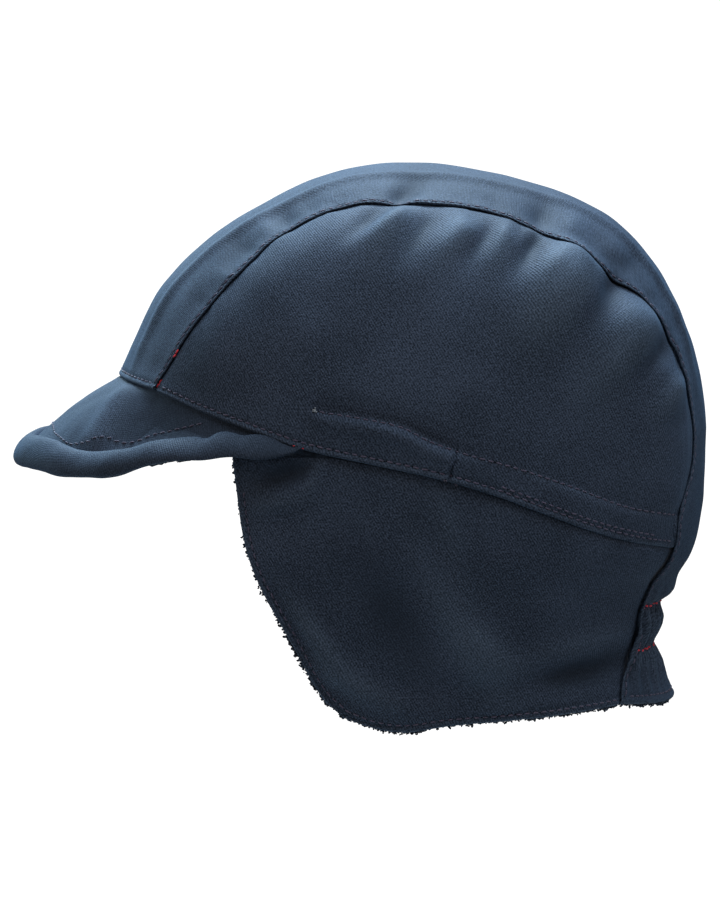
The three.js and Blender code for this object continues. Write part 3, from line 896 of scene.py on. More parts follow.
def build_flap(hand, side_name, finish):
    """An ear flap's outside."""
    points, hem, top, front, seam = flap_grid(1.5, 1.45, STRIP_UNDER, CROWN_UNDER)
    edge_distance = np.minimum(hem, front)
    folds = flap_folds(points, edge_distance)
    relief = folds + nape_relief(points) + gather_rows(points)
    relief += profile(HEM_FOLD, edge_distance)
    relief += profile(FLAP_TUCK, top) * lap_share(points)
    tucked = 1 - 0.6 * smoothstep(-points[..., 2], 52, 66)
    relief += profile(PANEL_TUCK, seam) * tucked
    relief += soft_relief(points, 61 if hand > 0 else 67)
    relief += seam_puckers(front, top, 71) + 0.6 * seam_puckers(hem, seam, 81)
    relief += stitch_dimples(front + hem, edge_distance, HEM_STITCH)
    edge = bump(edge_distance, 1.6)
    uv = arc_map(points, hand)
    name = "flap_cloth_" + side_name
    replaced = ["ear_flap_" + side_name]
    piece = make_cloth(name, points, relief, uv, edge, folds, hand, finish, replaced)


def slab(name, outer, inner, flipped):
    """A closed wall between two grids of points in metres."""
    rows, columns = outer.shape[:2]
    count = rows * columns
    front = grid_faces(rows, columns, flipped)
    back = grid_faces(rows, columns, not flipped) + count
    index = np.arange(count).reshape(rows, columns)
    loop = np.concatenate([index[0, :-1], index[:-1, -1], index[-1, :0:-1], index[:0:-1, 0]])
    following = np.roll(loop, -1)
    rim = np.stack([following, loop, loop + count, following + count], -1)
    rim = rim[:, ::-1] if flipped else rim
    verts = np.concatenate([outer.reshape(-1, 3), inner.reshape(-1, 3)])
    return mesh_object(name, verts, np.concatenate([front, back, rim]))


def pile_relief(points, seed):
    """The lumps of a curly pile."""
    return 0.5 * np.abs(ripples(points, 3.4, seed)) + 0.35 * ripples(points, 9, seed + 3)


def lining_middle():
    """How far in from the cloth's outside the middle of the pile lies."""
    sizes = bpy.context.scene.cap_sizes
    return (sizes.cloth_wall + sizes.lining_gap + sizes.pile_wall / 2) / MM


def keep_pile_edge(line, inner, sunk, hand):
    """Keeps a line along the pile's edge, and the ways past the edge and out of the cap."""
    edge = {"line": line + outward(line) * sunk, "away": unit(line - inner), "out": outward(line)}
    edge = {part: mirrored(values, hand) for part, values in edge.items()}
    BIN.setdefault("pile_edges", []).append(edge)


def build_lining(name, points, relief, reach, hand, seed, finish, replaced):
    """A wall of pile behind the cloth. reach is how far each point may swell sideways."""
    sizes = bpy.context.scene.cap_sizes
    normal = outward(points)
    depth = (sizes.cloth_wall + sizes.lining_gap) / MM
    outer = points + normal * (relief - depth)[..., None]
    swell = pile_relief(points, seed)
    inner = points + normal * (relief - depth - sizes.pile_wall / MM - swell * reach)[..., None]
    piece = slab(name, to_frame(mirrored(outer, hand)), to_frame(mirrored(inner, hand)), hand < 0)
    dress(piece, finish, replaced)
    return piece


def build_flap_lining(hand, side_name, finish):
    """The pile behind an ear flap, and the edge line that its tufts grow from."""
    points, hem, top, front, seam = flap_grid(1.05, 1.05, 0.3, -0.3)
    inside = smoothstep(np.minimum(np.minimum(hem, top), np.minimum(front, seam)), 0, 2)
    seed = 101 if hand > 0 else 107
    relief = flap_folds(points, np.minimum(hem, front)) + nape_relief(points)
    name = "flap_pile_" + side_name
    replaced = ["pile_lining_" + side_name]
    piece = build_lining(name, points, relief, inside, hand, seed, finish, replaced)
    line = np.concatenate([points[::-1, 0], points[0, 1:]])
    inner = np.concatenate([points[::-1, 3], points[3, 1:]])
    keep_pile_edge(line, inner, -lining_middle(), hand)


def build_nape_lining(finish):
    """The pile behind the nape."""
    stations = np.linspace(SEAM_BACK, HEM_MIDDLE, 62)
    points, seam, top, hem, _ = strip_grid(stations, 1.2)
    inside = smoothstep(np.minimum(seam, np.minimum(top, hem)), 0, 2)
    relief = fold_relief(points) + nape_relief(points)
    piece = build_lining("nape_pile", points, relief, inside, 1, 113, finish, ["pile_lining_nape"])
    line = points[-1]
    sunk = (fold_relief(line) + nape_relief(line) - lining_middle())[:, None]
    keep_pile_edge(line, points[-4], sunk, 1)


# Dents and lumps of the padded rim: turn round the rim, angle round the roll,
# their widths, and how far they stand out.
RIM_LUMPS = Table(
    ("turn", "round", "wide", "high", "height"),
    [
        (70.2, 85, 1.5, 45, -1),
        (68, 30, 1.6, 50, -0.4),
        (73.6, 60, 2, 60, 0.5),
        (78, 75, 1.3, 50, -0.5),
        (82, 50, 2, 60, 0.3),
        (60, 60, 3, 60, -0.15),
        (48, 40, 4, 70, 0.15),
        (30, 90, 5, 60, -0.15),
    ],
)

# Soft ridges and hollows on top of the peak: where each leaves the crown and meets the
# rim, half its width and its height.
PEAK_FOLDS = Table(
    ("turnAtCrown", "turnAtRim", "width", "height"),
    [
        (24, 39, 5, 2.4),
        (44, 56, 8, -1),
        (-26, -38, 5, 0.8),
        (-40, -52, 5, -0.9),
        (6, 3, 6, -0.3),
    ],
)
# How far round the rim's roll the top of the peak meets it, deepest at the sides.
RIM_CREASE = Table(
    ("turn", "round"),
    [
        (0, 126),
        (8, 144),
        (18, 162),
        (27, 172),
        (36, 160),
        (46, 158),
        (56, 178),
        (70, 190),
        (78, 178),
        (90, 158),
    ],
)
RIM_LEAN = 2.4  # the rim's top lies this far back from its foot, for an 8 mm roll
PEAK_TUCK = 4  # the peak's inner edge runs on inside the crown by this

# The points of one section in turn: the tuck at the crown, the top, the roll round the rim and
# the underside, then one point back at the tuck.
TUCK_POINTS = 2
TOP_POINTS = 29
ROLL_POINTS = 34
UNDER_POINTS = 19
RIM_AT = TUCK_POINTS + TOP_POINTS  # the first point of the roll
RIM_FRONT = RIM_AT + 11  # a point at the rim's front, where lengths along the rim are taken
RIM_LOW = RIM_AT + 15  # a point lower down, which is rubbed most


def peak_seam(y, above=0.0):
    """A point at or above the crown's edge where the peak meets it, on the wearer's left."""
    brow = strip_point(float(SEAM_FRONT), strip_half(np.array(float(SEAM_FRONT))))
    if y >= brow[1]:
        return on_surface(np.array(float(y)), crown_edge(np.array(float(y))) + above)
    middle = strip_point(float(SEAM_FRONT), 0.0)
    share = min(max((y - middle[1]) / (brow[1] - middle[1]), 0), 1)
    station = SEAM_FRONT - math.degrees(above / crown_radius(SEAM_FRONT))
    return strip_point(station, float(brow[0]) * math.sqrt(share))


def peak_section(turn):
    """The peak's outline at a turn from the front: top, roll and underside."""
    at = {name: float(read(turn)) for name, read in peak_column.items()}
    angle = math.radians(turn)
    seam = peak_seam(at["seamY"])
    tuck = peak_seam(at["seamY"], PEAK_TUCK)
    start = seam - outward(seam) * 0.7
    tucked = tuck - outward(tuck) * 1.9
    rim = np.array(
        [
            PEAK_HALF_WIDTH * math.sin(angle),
            PEAK_CENTRE_Y - PEAK_REACH * math.cos(angle),
            (at["low"] + at["high"]) / 2,
        ]
    )
    merge = float(smoothstep(np.array(float(turn)), 80, 90))
    rim[:2] += (seam[:2] - rim[:2]) * 0.8 * merge
    away = np.array([math.sin(angle) / PEAK_HALF_WIDTH, -math.cos(angle) / PEAK_REACH, 0])
    away = unit(away)
    up = np.array([0, 0, 1.0])
    middle = rim - away * at["roll"] / 2

    def roll(degrees):
        a = np.radians(degrees)[:, None]
        lump = sum(
            row["height"]
            * bump(abs(turn) - row["turn"], row["wide"])
            * bump(np.asarray(degrees) - row["round"], row["high"])
            for row in RIM_LUMPS.named()
        )
        swell = 1 + lump[:, None] / (at["roll"] / 2)
        width, height = at["roll"] / 2, (at["high"] - at["low"]) / 2
        lean = RIM_LEAN * width / 4 * (1 + 1.2 * float(smoothstep(np.array(float(turn)), 52, 68)))
        across = np.cos(a) * width - np.sin(a) * lean
        return middle + (away * across + up * np.sin(a) * height) * swell

    crease = float(RIM_CREASE.curve("turn", "round")(turn))
    round_degrees = np.linspace(crease, -140, ROLL_POINTS)
    rolled = roll(round_degrees)
    top_share = np.linspace(0, 1, TOP_POINTS + 1)[:-1, None]
    top = (start + up * 0.6) * (1 - top_share) + rolled[0] * top_share
    top += up * at["belly"] * 4 * top_share * (1 - top_share)
    under_share = np.linspace(0, 1, UNDER_POINTS + 1)[1:, None]
    under = rolled[-1] * (1 - under_share) + (start - up * (0.4 + at["wall"])) * under_share
    under += up * max(at["belly"], -1.6) * 3 * under_share * (1 - under_share)
    inward = (start - tucked) * 0.5
    back = tucked - outward(tuck) * at["wall"]
    return np.concatenate([[tucked, tucked + inward], top, rolled, under, [back]])


def either_section(turn):
    """The peak's outline at a turn to the wearer's left, or to the right if it is negative."""
    return mirrored(peak_section(abs(float(turn))), -1 if turn < 0 else 1)


def build_peak(finish):
    """The padded peak as one closed form."""
    left_turns = graded(90, 0.8, low=False)
    turns = np.concatenate([-left_turns[::-1], left_turns[1:]])
    points = np.array([either_section(turn) for turn in turns])
    stations, around = points.shape[:2]
    onto = running_length(points, 1)
    tuck_end, rim_start, rim_low = (onto[:, [at]] for at in (TUCK_POINTS, RIM_AT, RIM_LOW))
    along = running_length(points[:, [RIM_FRONT]], 0)
    along = along - along[stations // 2]
    ring = np.concatenate([points, points[:, :1]], 1)
    way = np.gradient(ring, axis=1)[:, :-1]
    run = np.gradient(points, axis=0)
    normal = np.cross(way, run)
    normal /= np.maximum(np.linalg.norm(normal, axis=-1, keepdims=True), 1e-9)
    relief = 0.22 * ripples(points, 26, 121) + 0.08 * ripples(points, 9, 127)
    ends = smoothstep(90 - np.abs(turns), 0, 6)[:, None] * smoothstep(onto, 4, 9)
    share = np.clip((onto - tuck_end) / (rim_start - tuck_end), 0, 1)
    on_top = share * (1 - smoothstep(onto - rim_start, 0, 6))
    folds = np.zeros_like(relief)
    for fold in PEAK_FOLDS.named():
        line = fold["turnAtCrown"] + (fold["turnAtRim"] - fold["turnAtCrown"]) * share
        reach = np.sqrt(on_top) * (1 - smoothstep(share, 0.7, 1))
        folds += fold["height"] * bump(turns[:, None] - line, fold["width"]) * reach
    relief += folds
    points = points + normal * (relief * ends)[..., None]
    index = np.arange(stations * around).reshape(stations, around)
    ring_index = np.concatenate([index, index[:, :1]], 1)
    faces = np.stack(
        [ring_index[:-1, :-1], ring_index[:-1, 1:], ring_index[1:, 1:], ring_index[1:, :-1]], -1
    ).reshape(-1, 4)
    verts = to_frame(points).reshape(-1, 3)
    uv = np.stack([np.broadcast_to(along, onto.shape), -onto], -1) * MM
    edge = 0.8 * bump(onto - rim_low, 4)
    # The peak's folds get painted highlight and shade, and its whole cloth is made darker.
    wear_and_painted_fold_light = np.clip(folds / FOLD_LIGHT_HEIGHT - PEAK_DARKENING, -1, 1)
    piece = mesh_object("peak_cloth", verts, faces, uv, edge=edge, fold=wear_and_painted_fold_light)
    bpy.ops.object.mode_set(mode="EDIT")
    bpy.ops.mesh.select_all(action="SELECT")
    bpy.ops.mesh.fill_holes(sides=0)
    bpy.ops.mesh.select_all(action="SELECT")
    bpy.ops.mesh.normals_make_consistent(inside=False)
    bpy.ops.object.mode_set(mode="OBJECT")
    BIN.setdefault("surfaces", []).append((verts, faces))
    dress(piece, finish, ["peak"])


def build_peak_lining(finish):
    """The pile under the peak."""
    end_turn = 66
    turns = np.linspace(-end_turn, end_turn, 150)
    uppers = []
    for turn in turns:
        under = either_section(turn)[-UNDER_POINTS - 2 : -1]
        at = np.linspace(0.2, 0.86, 26) * (len(under) - 1)
        uppers.append(read_along(under, np.arange(len(under)), at))
    upper = np.array(uppers)
    upper[..., 2] -= 0.5
    inside = smoothstep(end_turn - np.abs(turns), 0, 3)[:, None]
    lower = upper.copy()
    lower[..., 2] -= 2.4 + pile_relief(upper, 131) * inside
    piece = slab("peak_pile", to_frame(upper), to_frame(lower), True)
    dress(piece, finish, ["pile_lining_peak"])
    edge = lower[:, 0]
    away = unit(edge - lower[:, 4])
    down = np.broadcast_to(np.array([0, 0, -1.0]), away.shape)
    BIN["peak_pile_edge"] = {"line": edge + [0, 0, 1.5], "away": away, "out": down}


class Signal:
    """A shader socket that Python expressions work on."""

    def __init__(self, tree, socket):
        self.tree = tree
        self.socket = socket

    def output(self, key):
        """Another output of the same node."""
        return Signal(self.tree, self.socket.node.outputs[key])

    def math(self, operation, *others):
        return math_node(self.tree, operation, self, *others)

    def __add__(self, other):
        return self.math("ADD", other)

    def __radd__(self, other):
        return self.math("ADD", other)

    def __sub__(self, other):
        return self.math("SUBTRACT", other)

    def __rsub__(self, other):
        return math_node(self.tree, "SUBTRACT", other, self)

    def __mul__(self, other):
        return self.math("MULTIPLY", other)

    def __rmul__(self, other):
        return self.math("MULTIPLY", other)

    def sine(self):
        return self.math("SINE")

    def clamped(self):
        return self.math("MAXIMUM", 0.0).math("MINIMUM", 1.0)


def connect(tree, slot, value):
    """Links a socket to a signal, or sets its number, colour or vector."""
    if isinstance(value, Signal):
        tree.links.new(value.socket, slot)
    else:
        slot.default_value = value


def add_node(tree, kind, settings=None, inputs=None, output=0):
    """Any node: its settings first, then its sockets' values or links."""
    made = tree.nodes.new(kind)
    for key, value in (settings or {}).items():
        setattr(made, key, value)
    for key, value in (inputs or {}).items():
        connect(tree, made.inputs[key], value)
    return Signal(tree, made.outputs[output])


def math_node(tree, operation, *values):
    """A Math node on signals and numbers."""
    return add_node(tree, "ShaderNodeMath", {"operation": operation}, dict(enumerate(values)))


class Finish:
    """A material with one Principled shader and the nodes that feed it."""

    def __init__(self, name):
        self.material = bpy.data.materials.new(name)
        self.material.use_nodes = True
        self.tree = self.material.node_tree
        self.shader = self.tree.nodes["Principled BSDF"]

    def node(self, kind, settings=None, inputs=None, output=0):
        """A node of this material."""
        return add_node(self.tree, kind, settings, inputs, output)

    def set(self, **values):
        """Numbers, colours or signals for the shader's sockets, spaces as underscores."""
        for key, value in values.items():
            connect(self.tree, self.shader.inputs[key.replace("_", " ")], value)

    def mix(self, factor, first, second):
        """A colour between two others."""
        inputs = {0: factor, 6: first, 7: second}
        return self.node("ShaderNodeMix", {"data_type": "RGBA"}, inputs, output=2)

    def noise(self, vector, scale, detail=2.0):
        """Noise of about 0 to 1 on a vector."""
        inputs = {"Vector": vector, "Scale": scale, "Detail": detail}
        return self.node("ShaderNodeTexNoise", {}, inputs)

    def embossed(self, strength, distance, height):
        """The shader's normal over a small relief."""
        inputs = {"Strength": strength, "Distance": distance, "Height": height}
        return self.node("ShaderNodeBump", {}, inputs)

    def place(self):
        """Object coordinates."""
        return self.node("ShaderNodeTexCoord", output="Object")


def rgba(tint, strength=1.0):
    """A colour with full alpha, darkened or lightened by a strength."""
    return (*(channel * strength for channel in tint), 1.0)


RIB_TURN = 30  # degrees of the twill's ribs from upright
RIB_WANDER = 2.4  # radians by which the ribs stray
LINT_SCALE = 110.0  # cells in a metre, of which the few brightest hold a speck of lint
LINT_SHARE = 0.93
LINT = (0.2, 0.25, 0.3)
PALE_THREAD = (0.3, 0.36, 0.42)


def twill_finish():
    """Navy cotton twill: diagonal ribs, uneven dye, lint, rubbed edges, painted highlight on fold
    ridges and painted shade in fold hollows.
    """
    sizes = bpy.context.scene.cap_sizes
    colours = bpy.context.scene.cap_colours
    finish = Finish("navy_twill")
    flat = finish.node("ShaderNodeUVMap", {"uv_map": "cloth"})
    place = finish.place()
    split = finish.node("ShaderNodeSeparateXYZ", {}, {0: flat})
    across = split.output("X")
    up = split.output("Y")
    lean = math.radians(RIB_TURN)
    turns = 2 * math.pi / sizes.twill_pitch
    wander = (finish.noise(flat, 260.0) - 0.5) * RIB_WANDER
    rib_wave = (across * math.cos(lean) + up * math.sin(lean)) * turns + wander
    weft_wave = (up * math.cos(lean) - across * math.sin(lean)) * turns * 0.97 + wander
    rib = rib_wave.sine() * 0.5 + 0.5
    weft = weft_wave.sine() * 0.5 + 0.5
    yarn = finish.noise(flat, 1450.0, 3.0) - 0.5
    slub = finish.noise(flat, 520.0, 2.0) - 0.5
    mottle = finish.noise(place, 42.0, 3.0)
    cloud = finish.noise(place, 11.0, 2.0)
    weave = rib * 0.46 + weft * 0.12 + yarn * 3.2 + slub * 0.6
    shade = (weave * 0.8 + (mottle - 0.5) * 0.5 + (cloud - 0.5) * 0.45 + 0.16).clamped()
    cloth = finish.mix(shade, rgba(colours.twill, 0.4), rgba(colours.twill, 1.85))
    # This lighter colour serves both the rubbed edges and the painted highlight on fold ridges.
    worn_and_painted_highlight_cloth = finish.mix(shade, rgba(colours.twill_worn_and_lit, 0.5), rgba(colours.twill_worn_and_lit, 1.5))
    wear_and_painted_fold_light = finish.node("ShaderNodeAttribute", {"attribute_name": "edge"}, output="Fac")
    rubbed = (wear_and_painted_fold_light * (0.25 + mottle * 0.5) * 0.6).clamped()
    cloth = finish.mix(rubbed, cloth, worn_and_painted_highlight_cloth)
    # Painted highlight and shade: fold ridges are mixed toward the lighter colour, and fold hollows
    # and the whole peak toward a darker navy.
    fold = finish.node("ShaderNodeAttribute", {"attribute_name": "fold"}, output="Fac")
    cloth = finish.mix((fold * 0.75).clamped(), cloth, worn_and_painted_highlight_cloth)
    cloth = finish.mix((fold * -0.7).clamped(), cloth, rgba(colours.twill, 0.5))
    cells = finish.node("ShaderNodeTexVoronoi", {}, {"Scale": LINT_SCALE, "Vector": place})
    near = 1.0 - (cells.output("Distance") * 19.0).clamped()
    pick = finish.node("ShaderNodeSeparateColor", {}, {0: cells.output("Color")})
    lint = near * pick.math("GREATER_THAN", LINT_SHARE) * 0.8
    cloth = finish.mix(lint, cloth, rgba(LINT))
    height = rib * 0.45 + weft * 0.2 + yarn * 1.1 + slub * 0.3
    relief = finish.embossed(0.65, 0.00022, height)
    finish.set(Base_Color=cloth, Roughness=0.66 - rib * 0.08, Normal=relief)
    finish.set(Sheen_Weight=0.08, Sheen_Roughness=0.4, Sheen_Tint=rgba((0.28, 0.58, 1.0)))
    finish.set(Specular_IOR_Level=0.1, Specular_Tint=rgba((0.36, 0.68, 1.0)))
    return finish.material


def pile_finish(name):
    """Dark curly pile."""
    tint = bpy.context.scene.cap_colours.pile
    finish = Finish(name)
    place = finish.place()
    curls = finish.noise(place, 520.0, 4.0)
    tufts = finish.noise(place, 170.0, 2.0)
    shade = (curls * 0.7 + tufts * 0.6 - 0.15).clamped()
    pile = finish.mix(shade, rgba(tint, 0.35), rgba(tint, 1.9))
    relief = finish.embossed(0.9, 0.0012, curls + tufts)
    finish.set(Base_Color=pile, Roughness=0.95, Normal=relief)
    finish.set(Sheen_Weight=0.25, Sheen_Roughness=0.6, Sheen_Tint=rgba((0.6, 0.75, 1.0)))
    finish.set(Specular_IOR_Level=0.15)
    return finish.material


def thread_finish(name, tint):
    """Spun sewing thread."""
    finish = Finish(name)
    fibres = finish.noise(finish.place(), 2600.0, 3.0)
    thread = finish.mix(fibres, rgba(tint, 0.55), rgba(tint, 1.35))
    relief = finish.embossed(0.4, 0.0001, fibres)
    finish.set(Base_Color=thread, Roughness=0.6, Normal=relief)
    finish.set(Sheen_Weight=0.2, Specular_IOR_Level=0.35)
    return finish.material


def hole_shade_finish():
    """Painted shade for a needle hole: a near-black colour for the dark inside it."""
    finish = Finish("needle_hole")
    shade = finish.noise(finish.place(), 1800.0, 2.0)
    hole = finish.mix(shade, rgba((0.002, 0.002, 0.003)), rgba((0.006, 0.007, 0.01)))
    finish.set(Base_Color=hole, Roughness=0.95, Specular_IOR_Level=0.05)
    return finish.material


def finish_of(kind):
    """One material of each kind, made when it is first asked for."""
    colours = bpy.context.scene.cap_colours
    makers = {
        "twill": twill_finish,
        "pile": lambda: pile_finish("navy_pile"),
        "tuft": lambda: pile_finish("navy_curls"),
        "thread": lambda: thread_finish("navy_thread", colours.thread),
        "red": lambda: thread_finish("red_thread", colours.red_thread),
        "pale": lambda: thread_finish("pale_thread", PALE_THREAD),
        "hole": hole_shade_finish,
    }
    made = BIN.setdefault("finishes", {})
    if kind not in made:
        made[kind] = makers[kind]()
    return made[kind]


def sewn_surface():
    """All the cloth so far as one surface that rays can be cast at."""
    verts = []
    faces = []
    for points, quads in BIN["surfaces"]:
        offset = sum(len(v) for v in verts)
        verts.append(points)
        faces.extend((quads + offset).tolist())
    return BVHTree.FromPolygons(np.concatenate(verts).tolist(), faces)


def drop_onto(tree, points, ways):
    """Where lines from outside meet the cloth, and the cloth's own way out there."""
    far = 12 * MM
    landed = []
    for point, way in zip(to_frame(points), ways):
        start = Vector(point) + Vector(way) * far
        spot, normal, _, _ = tree.ray_cast(start, -Vector(way), 2 * far)
        if spot is None:
            landed.append(None)
            continue
        if normal.dot(Vector(way)) < 0:
            normal = -normal
        landed.append((np.array(spot), np.array(normal)))
    return landed


def take_shape(piece):
    """The points and faces of a small piece that is copied many times, which it leaves."""
    bpy.ops.object.mode_set(mode="OBJECT")
    points = np.array([vertex.co for vertex in piece.data.vertices])
    faces = [tuple(polygon.vertices) for polygon in piece.data.polygons]
    bpy.data.objects.remove(piece)
    return points, faces


def disc(sides, radius, x=0.0, z=0.0):
    """A filled disc that faces along X, in edit mode, from which a thread is drawn out."""
    bpy.ops.object.select_all(action="DESELECT")
    bpy.ops.mesh.primitive_circle_add(
        vertices=sides,
        radius=radius,
        fill_type="NGON",
        location=(x, 0, z),
        rotation=(0, math.pi / 2, 0),
    )
    bpy.ops.object.transform_apply(location=True, rotation=True, scale=True)
    bpy.ops.object.mode_set(mode="EDIT")
    bpy.ops.mesh.select_all(action="SELECT")
    return bpy.context.active_object


# One stitch in side view, in half lengths along it and radii up and round it.
STITCH_SHAPE = Table(
    ("along", "up", "radius"),
    [
        (-1, -1.1, 0.45),
        (-0.82, -0.3, 0.85),
        (-0.4, 0.6, 1),
        (0.4, 0.6, 1),
        (0.82, -0.3, 0.85),
        (1, -1.1, 0.45),
    ],
)


def model_stitch(length, radius):
    """One stitch, lying along X and sunk at both ends, extruded ring by ring from a disc."""
    rings = STITCH_SHAPE.named()
    first = rings[0]
    x, z, thick = first["along"] * length / 2, first["up"] * radius, first["radius"]
    stitch = disc(6, thick * radius, x, z)
    for ring in rings[1:]:
        step = (ring["along"] * length / 2 - x, 0, ring["up"] * radius - z)
        x, z = x + step[0], z + step[2]
        bpy.ops.mesh.extrude_region_move(TRANSFORM_OT_translate={"value": step})
        grow_by = ring["radius"] / thick
        bpy.ops.transform.resize(value=(1, grow_by, grow_by), center_override=(x, 0, z))
        thick = ring["radius"]
    bpy.ops.mesh.select_all(action="SELECT")
    bpy.ops.mesh.normals_make_consistent(inside=False)
    return take_shape(stitch)


def copies(name, shapes, frames, finish):
    """One piece of many copies of some shapes in turn, each set in its own place and axes."""
    verts = []
    faces = []
    count = 0
    for k, (place, axes) in enumerate(frames):
        points, polygons = shapes[k % len(shapes)]
        verts.append(place + points @ axes)
        faces.extend(tuple(i + count for i in polygon) for polygon in polygons)
        count += len(points)
    mesh = bpy.data.meshes.new(name)
    mesh.from_pydata(np.concatenate(verts).tolist(), [], faces)
    dress(place_mesh(name, mesh), finish)


BROW_DEGREE = 1.93  # millimetres of the crown's outline in a degree at the brow


def sewing_rows():
    """Every topstitched row but the peak's as a line of plain points."""
    stations = np.concatenate(
        [np.linspace(SEAM_FRONT - 1.5, 0, 220), np.linspace(-1, HEM_MIDDLE + 4, 120)]
    )
    brow_station = SEAM_FRONT - LAP_STITCH / BROW_DEGREE
    brow_half = float(strip_half(np.array(brow_station))) - 1.5
    front = side_curve(FLAP_FRONT)(np.linspace(0.16, 1, 120))
    hem = side_curve(FLAP_HEM)(np.linspace(0, 1, 120))
    outline = np.concatenate([front, hem[1:]])
    way = unit(np.gradient(outline, axis=0))
    inset = outline + np.stack([-way[:, 1], way[:, 0]], -1) * HEM_STITCH
    foot_y = np.linspace(-92, 95, 160)
    casing_y = np.linspace(CASING_START + 1.5, 96, 120)
    back_y = np.linspace(30, 88, 40)
    side_rows = [
        strip_point(stations, strip_half(stations) - STRIP_STITCH),
        on_surface(foot_y, crown_edge(foot_y) + LAP_STITCH * 1.03),
        on_surface(casing_y, casing_edge(casing_y)),
        on_surface(inset[:, 0], inset[:, 1]),
        on_surface(back_y, crown_edge(back_y) + LAP_STITCH + 1.7),
    ]
    rows = [strip_point(brow_station, np.linspace(-brow_half, brow_half, 60))]
    for hand in (1, -1):
        rows += [mirrored(row, hand) for row in side_rows]
    rows.append(strip_point(HEM_MIDDLE + HEM_STITCH, np.linspace(-46, 46, 60)))
    return rows


# The row on top of the peak: turn from the front, and share of the way to the rim.
PEAK_ROW = Table(
    ("turn", "share"),
    [
        (0, 0.82),
        (8, 0.83),
        (14, 0.86),
        (21, 0.88),
        (27, 0.9),
        (32, 0.88),
        (36, 0.86),
        (38, 0.8),
        (40, 0.73),
        (42, 0.7),
        (44, 0.66),
        (46, 0.59),
        (48, 0.5),
        (52, 0.35),
        (57, 0.24),
        (62, 0.14),
    ],
)


def peak_row():
    """The stitched row on top of the peak."""
    share_at = PEAK_ROW.curve("turn", "share")
    line = []
    for turn in np.linspace(-63, 63, 110):
        section = either_section(turn)
        where = TUCK_POINTS + float(share_at(abs(turn))) * TOP_POINTS
        low = int(where)
        line.append(section[low] * (1 - where + low) + section[low + 1] * (where - low))
    return np.array(line)


STITCH_SWAY = 0.09  # how far a stitch turns from its row's way
STITCH_RISE = 0.02 * MM  # how high a stitch lies on the cloth
HOLE_DEPTH = 0.03 * MM
HOLE_RADIUS = 0.24 * MM
HOLE_APART = 0.86  # from one hole of a stitch to the other, as a share of the pitch


def sew(tree, line, ways, draw, pitch):
    """Places and axes of the stitches and their holes along one row."""
    stitches = []
    holes = []
    run = running_length(line, 0)
    at = np.arange(pitch / 2, run[-1], pitch)
    spots = read_along(line, run, at)
    landed = drop_onto(tree, spots, read_along(ways, run, at))
    for i, here in enumerate(landed):
        if here is None:
            continue
        spot, normal = here
        ahead = spots[min(i + 1, len(spots) - 1)] - spots[max(i - 1, 0)]
        ahead = ahead + draw.normal(size=3) * STITCH_SWAY * np.linalg.norm(ahead)
        ahead = unit(ahead - normal * (ahead @ normal))
        side = np.cross(normal, ahead)
        axes = np.array([ahead * draw.uniform(0.86, 1.08), side, normal])
        stitches.append((spot + normal * STITCH_RISE, axes))
        for end in (-0.5, 0.5):
            along = ahead * end * pitch * HOLE_APART * MM
            holes.append((spot + along - normal * HOLE_DEPTH, axes))
    return stitches, holes


def model_hole(radius):
    """A small flattened pit, which its finish paints dark as shade."""
    bpy.ops.object.select_all(action="DESELECT")
    bpy.ops.mesh.primitive_ico_sphere_add(subdivisions=1, radius=radius)
    points, faces = take_shape(bpy.context.active_object)
    points[:, 2] *= 0.3
    return points, faces


ELASTIC_PITCH = 2.1
TACK_PITCH = 1.8
SPECK_PITCH = 3.4
SPECK_SIZE = 0.5  # of a red stitch


def red_stitches(tree, draw):
    """Places and axes of the red stitches: the elastic's rows, the tacks and two specks."""
    red = []
    for level in ELASTIC_ROWS:
        line = strip_point(level, np.linspace(-ELASTIC_REACH, ELASTIC_REACH, 95))
        red += sew(tree, line, outward(line), draw, ELASTIC_PITCH)[0]
    speck_y = np.array([-45.5, -40.5])
    speck_line = on_surface(speck_y, crown_edge(speck_y) + 0.5)
    for hand in (1, -1):
        for stations in TACKS:
            line = strip_point(np.array(stations), strip_half(np.array(stations)))
            ways = mirrored(outward(line), hand)
            red += sew(tree, mirrored(line, hand), ways, draw, TACK_PITCH)[0]
        ways = mirrored(outward(speck_line), hand)
        specks = sew(tree, mirrored(speck_line, hand), ways, draw, SPECK_PITCH)[0]
        red += [(spot, axes * SPECK_SIZE) for spot, axes in specks]
    return red


def build_stitches():
    """All the topstitching, its needle holes and the red rows at the elastic."""
    sizes = bpy.context.scene.cap_sizes
    tree = sewn_surface()
    draw = np.random.default_rng(5)
    rows = [(line, outward(line)) for line in sewing_rows()]
    on_peak = peak_row()
    rows.append((on_peak, np.tile([0, 0, 1.0], (len(on_peak), 1))))
    stitches = []
    holes = []
    for line, ways in rows:
        made, pierced = sew(tree, line, ways, draw, sizes.stitch_pitch / MM)
        stitches += made
        holes += pierced
    stitch = model_stitch(sizes.stitch_length, sizes.thread_radius)
    copies("topstitching", [stitch], stitches, finish_of("thread"))
    # The needle holes are near-black pits: painted shade.
    copies("needle_holes", [model_hole(HOLE_RADIUS)], holes, finish_of("hole"))
    red = red_stitches(tree, draw)
    stitch = model_stitch(1.9 * MM, 0.34 * MM)
    copies("red_stitches", [stitch], red, finish_of("red"))
    build_thread_ends(tree, draw)


# Loose thread ends on the wearer's left: side-view place, how many, their length and kind.
THREAD_ENDS = Table(
    ("y", "z", "count", "length", "kind"),
    [
        (-36.4, 13.6, 9, 1.5, "pale"),
        (14.2, -13.4, 3, 2.6, "thread"),
        (10.2, -11.2, 2, 1.6, "thread"),
    ],
)


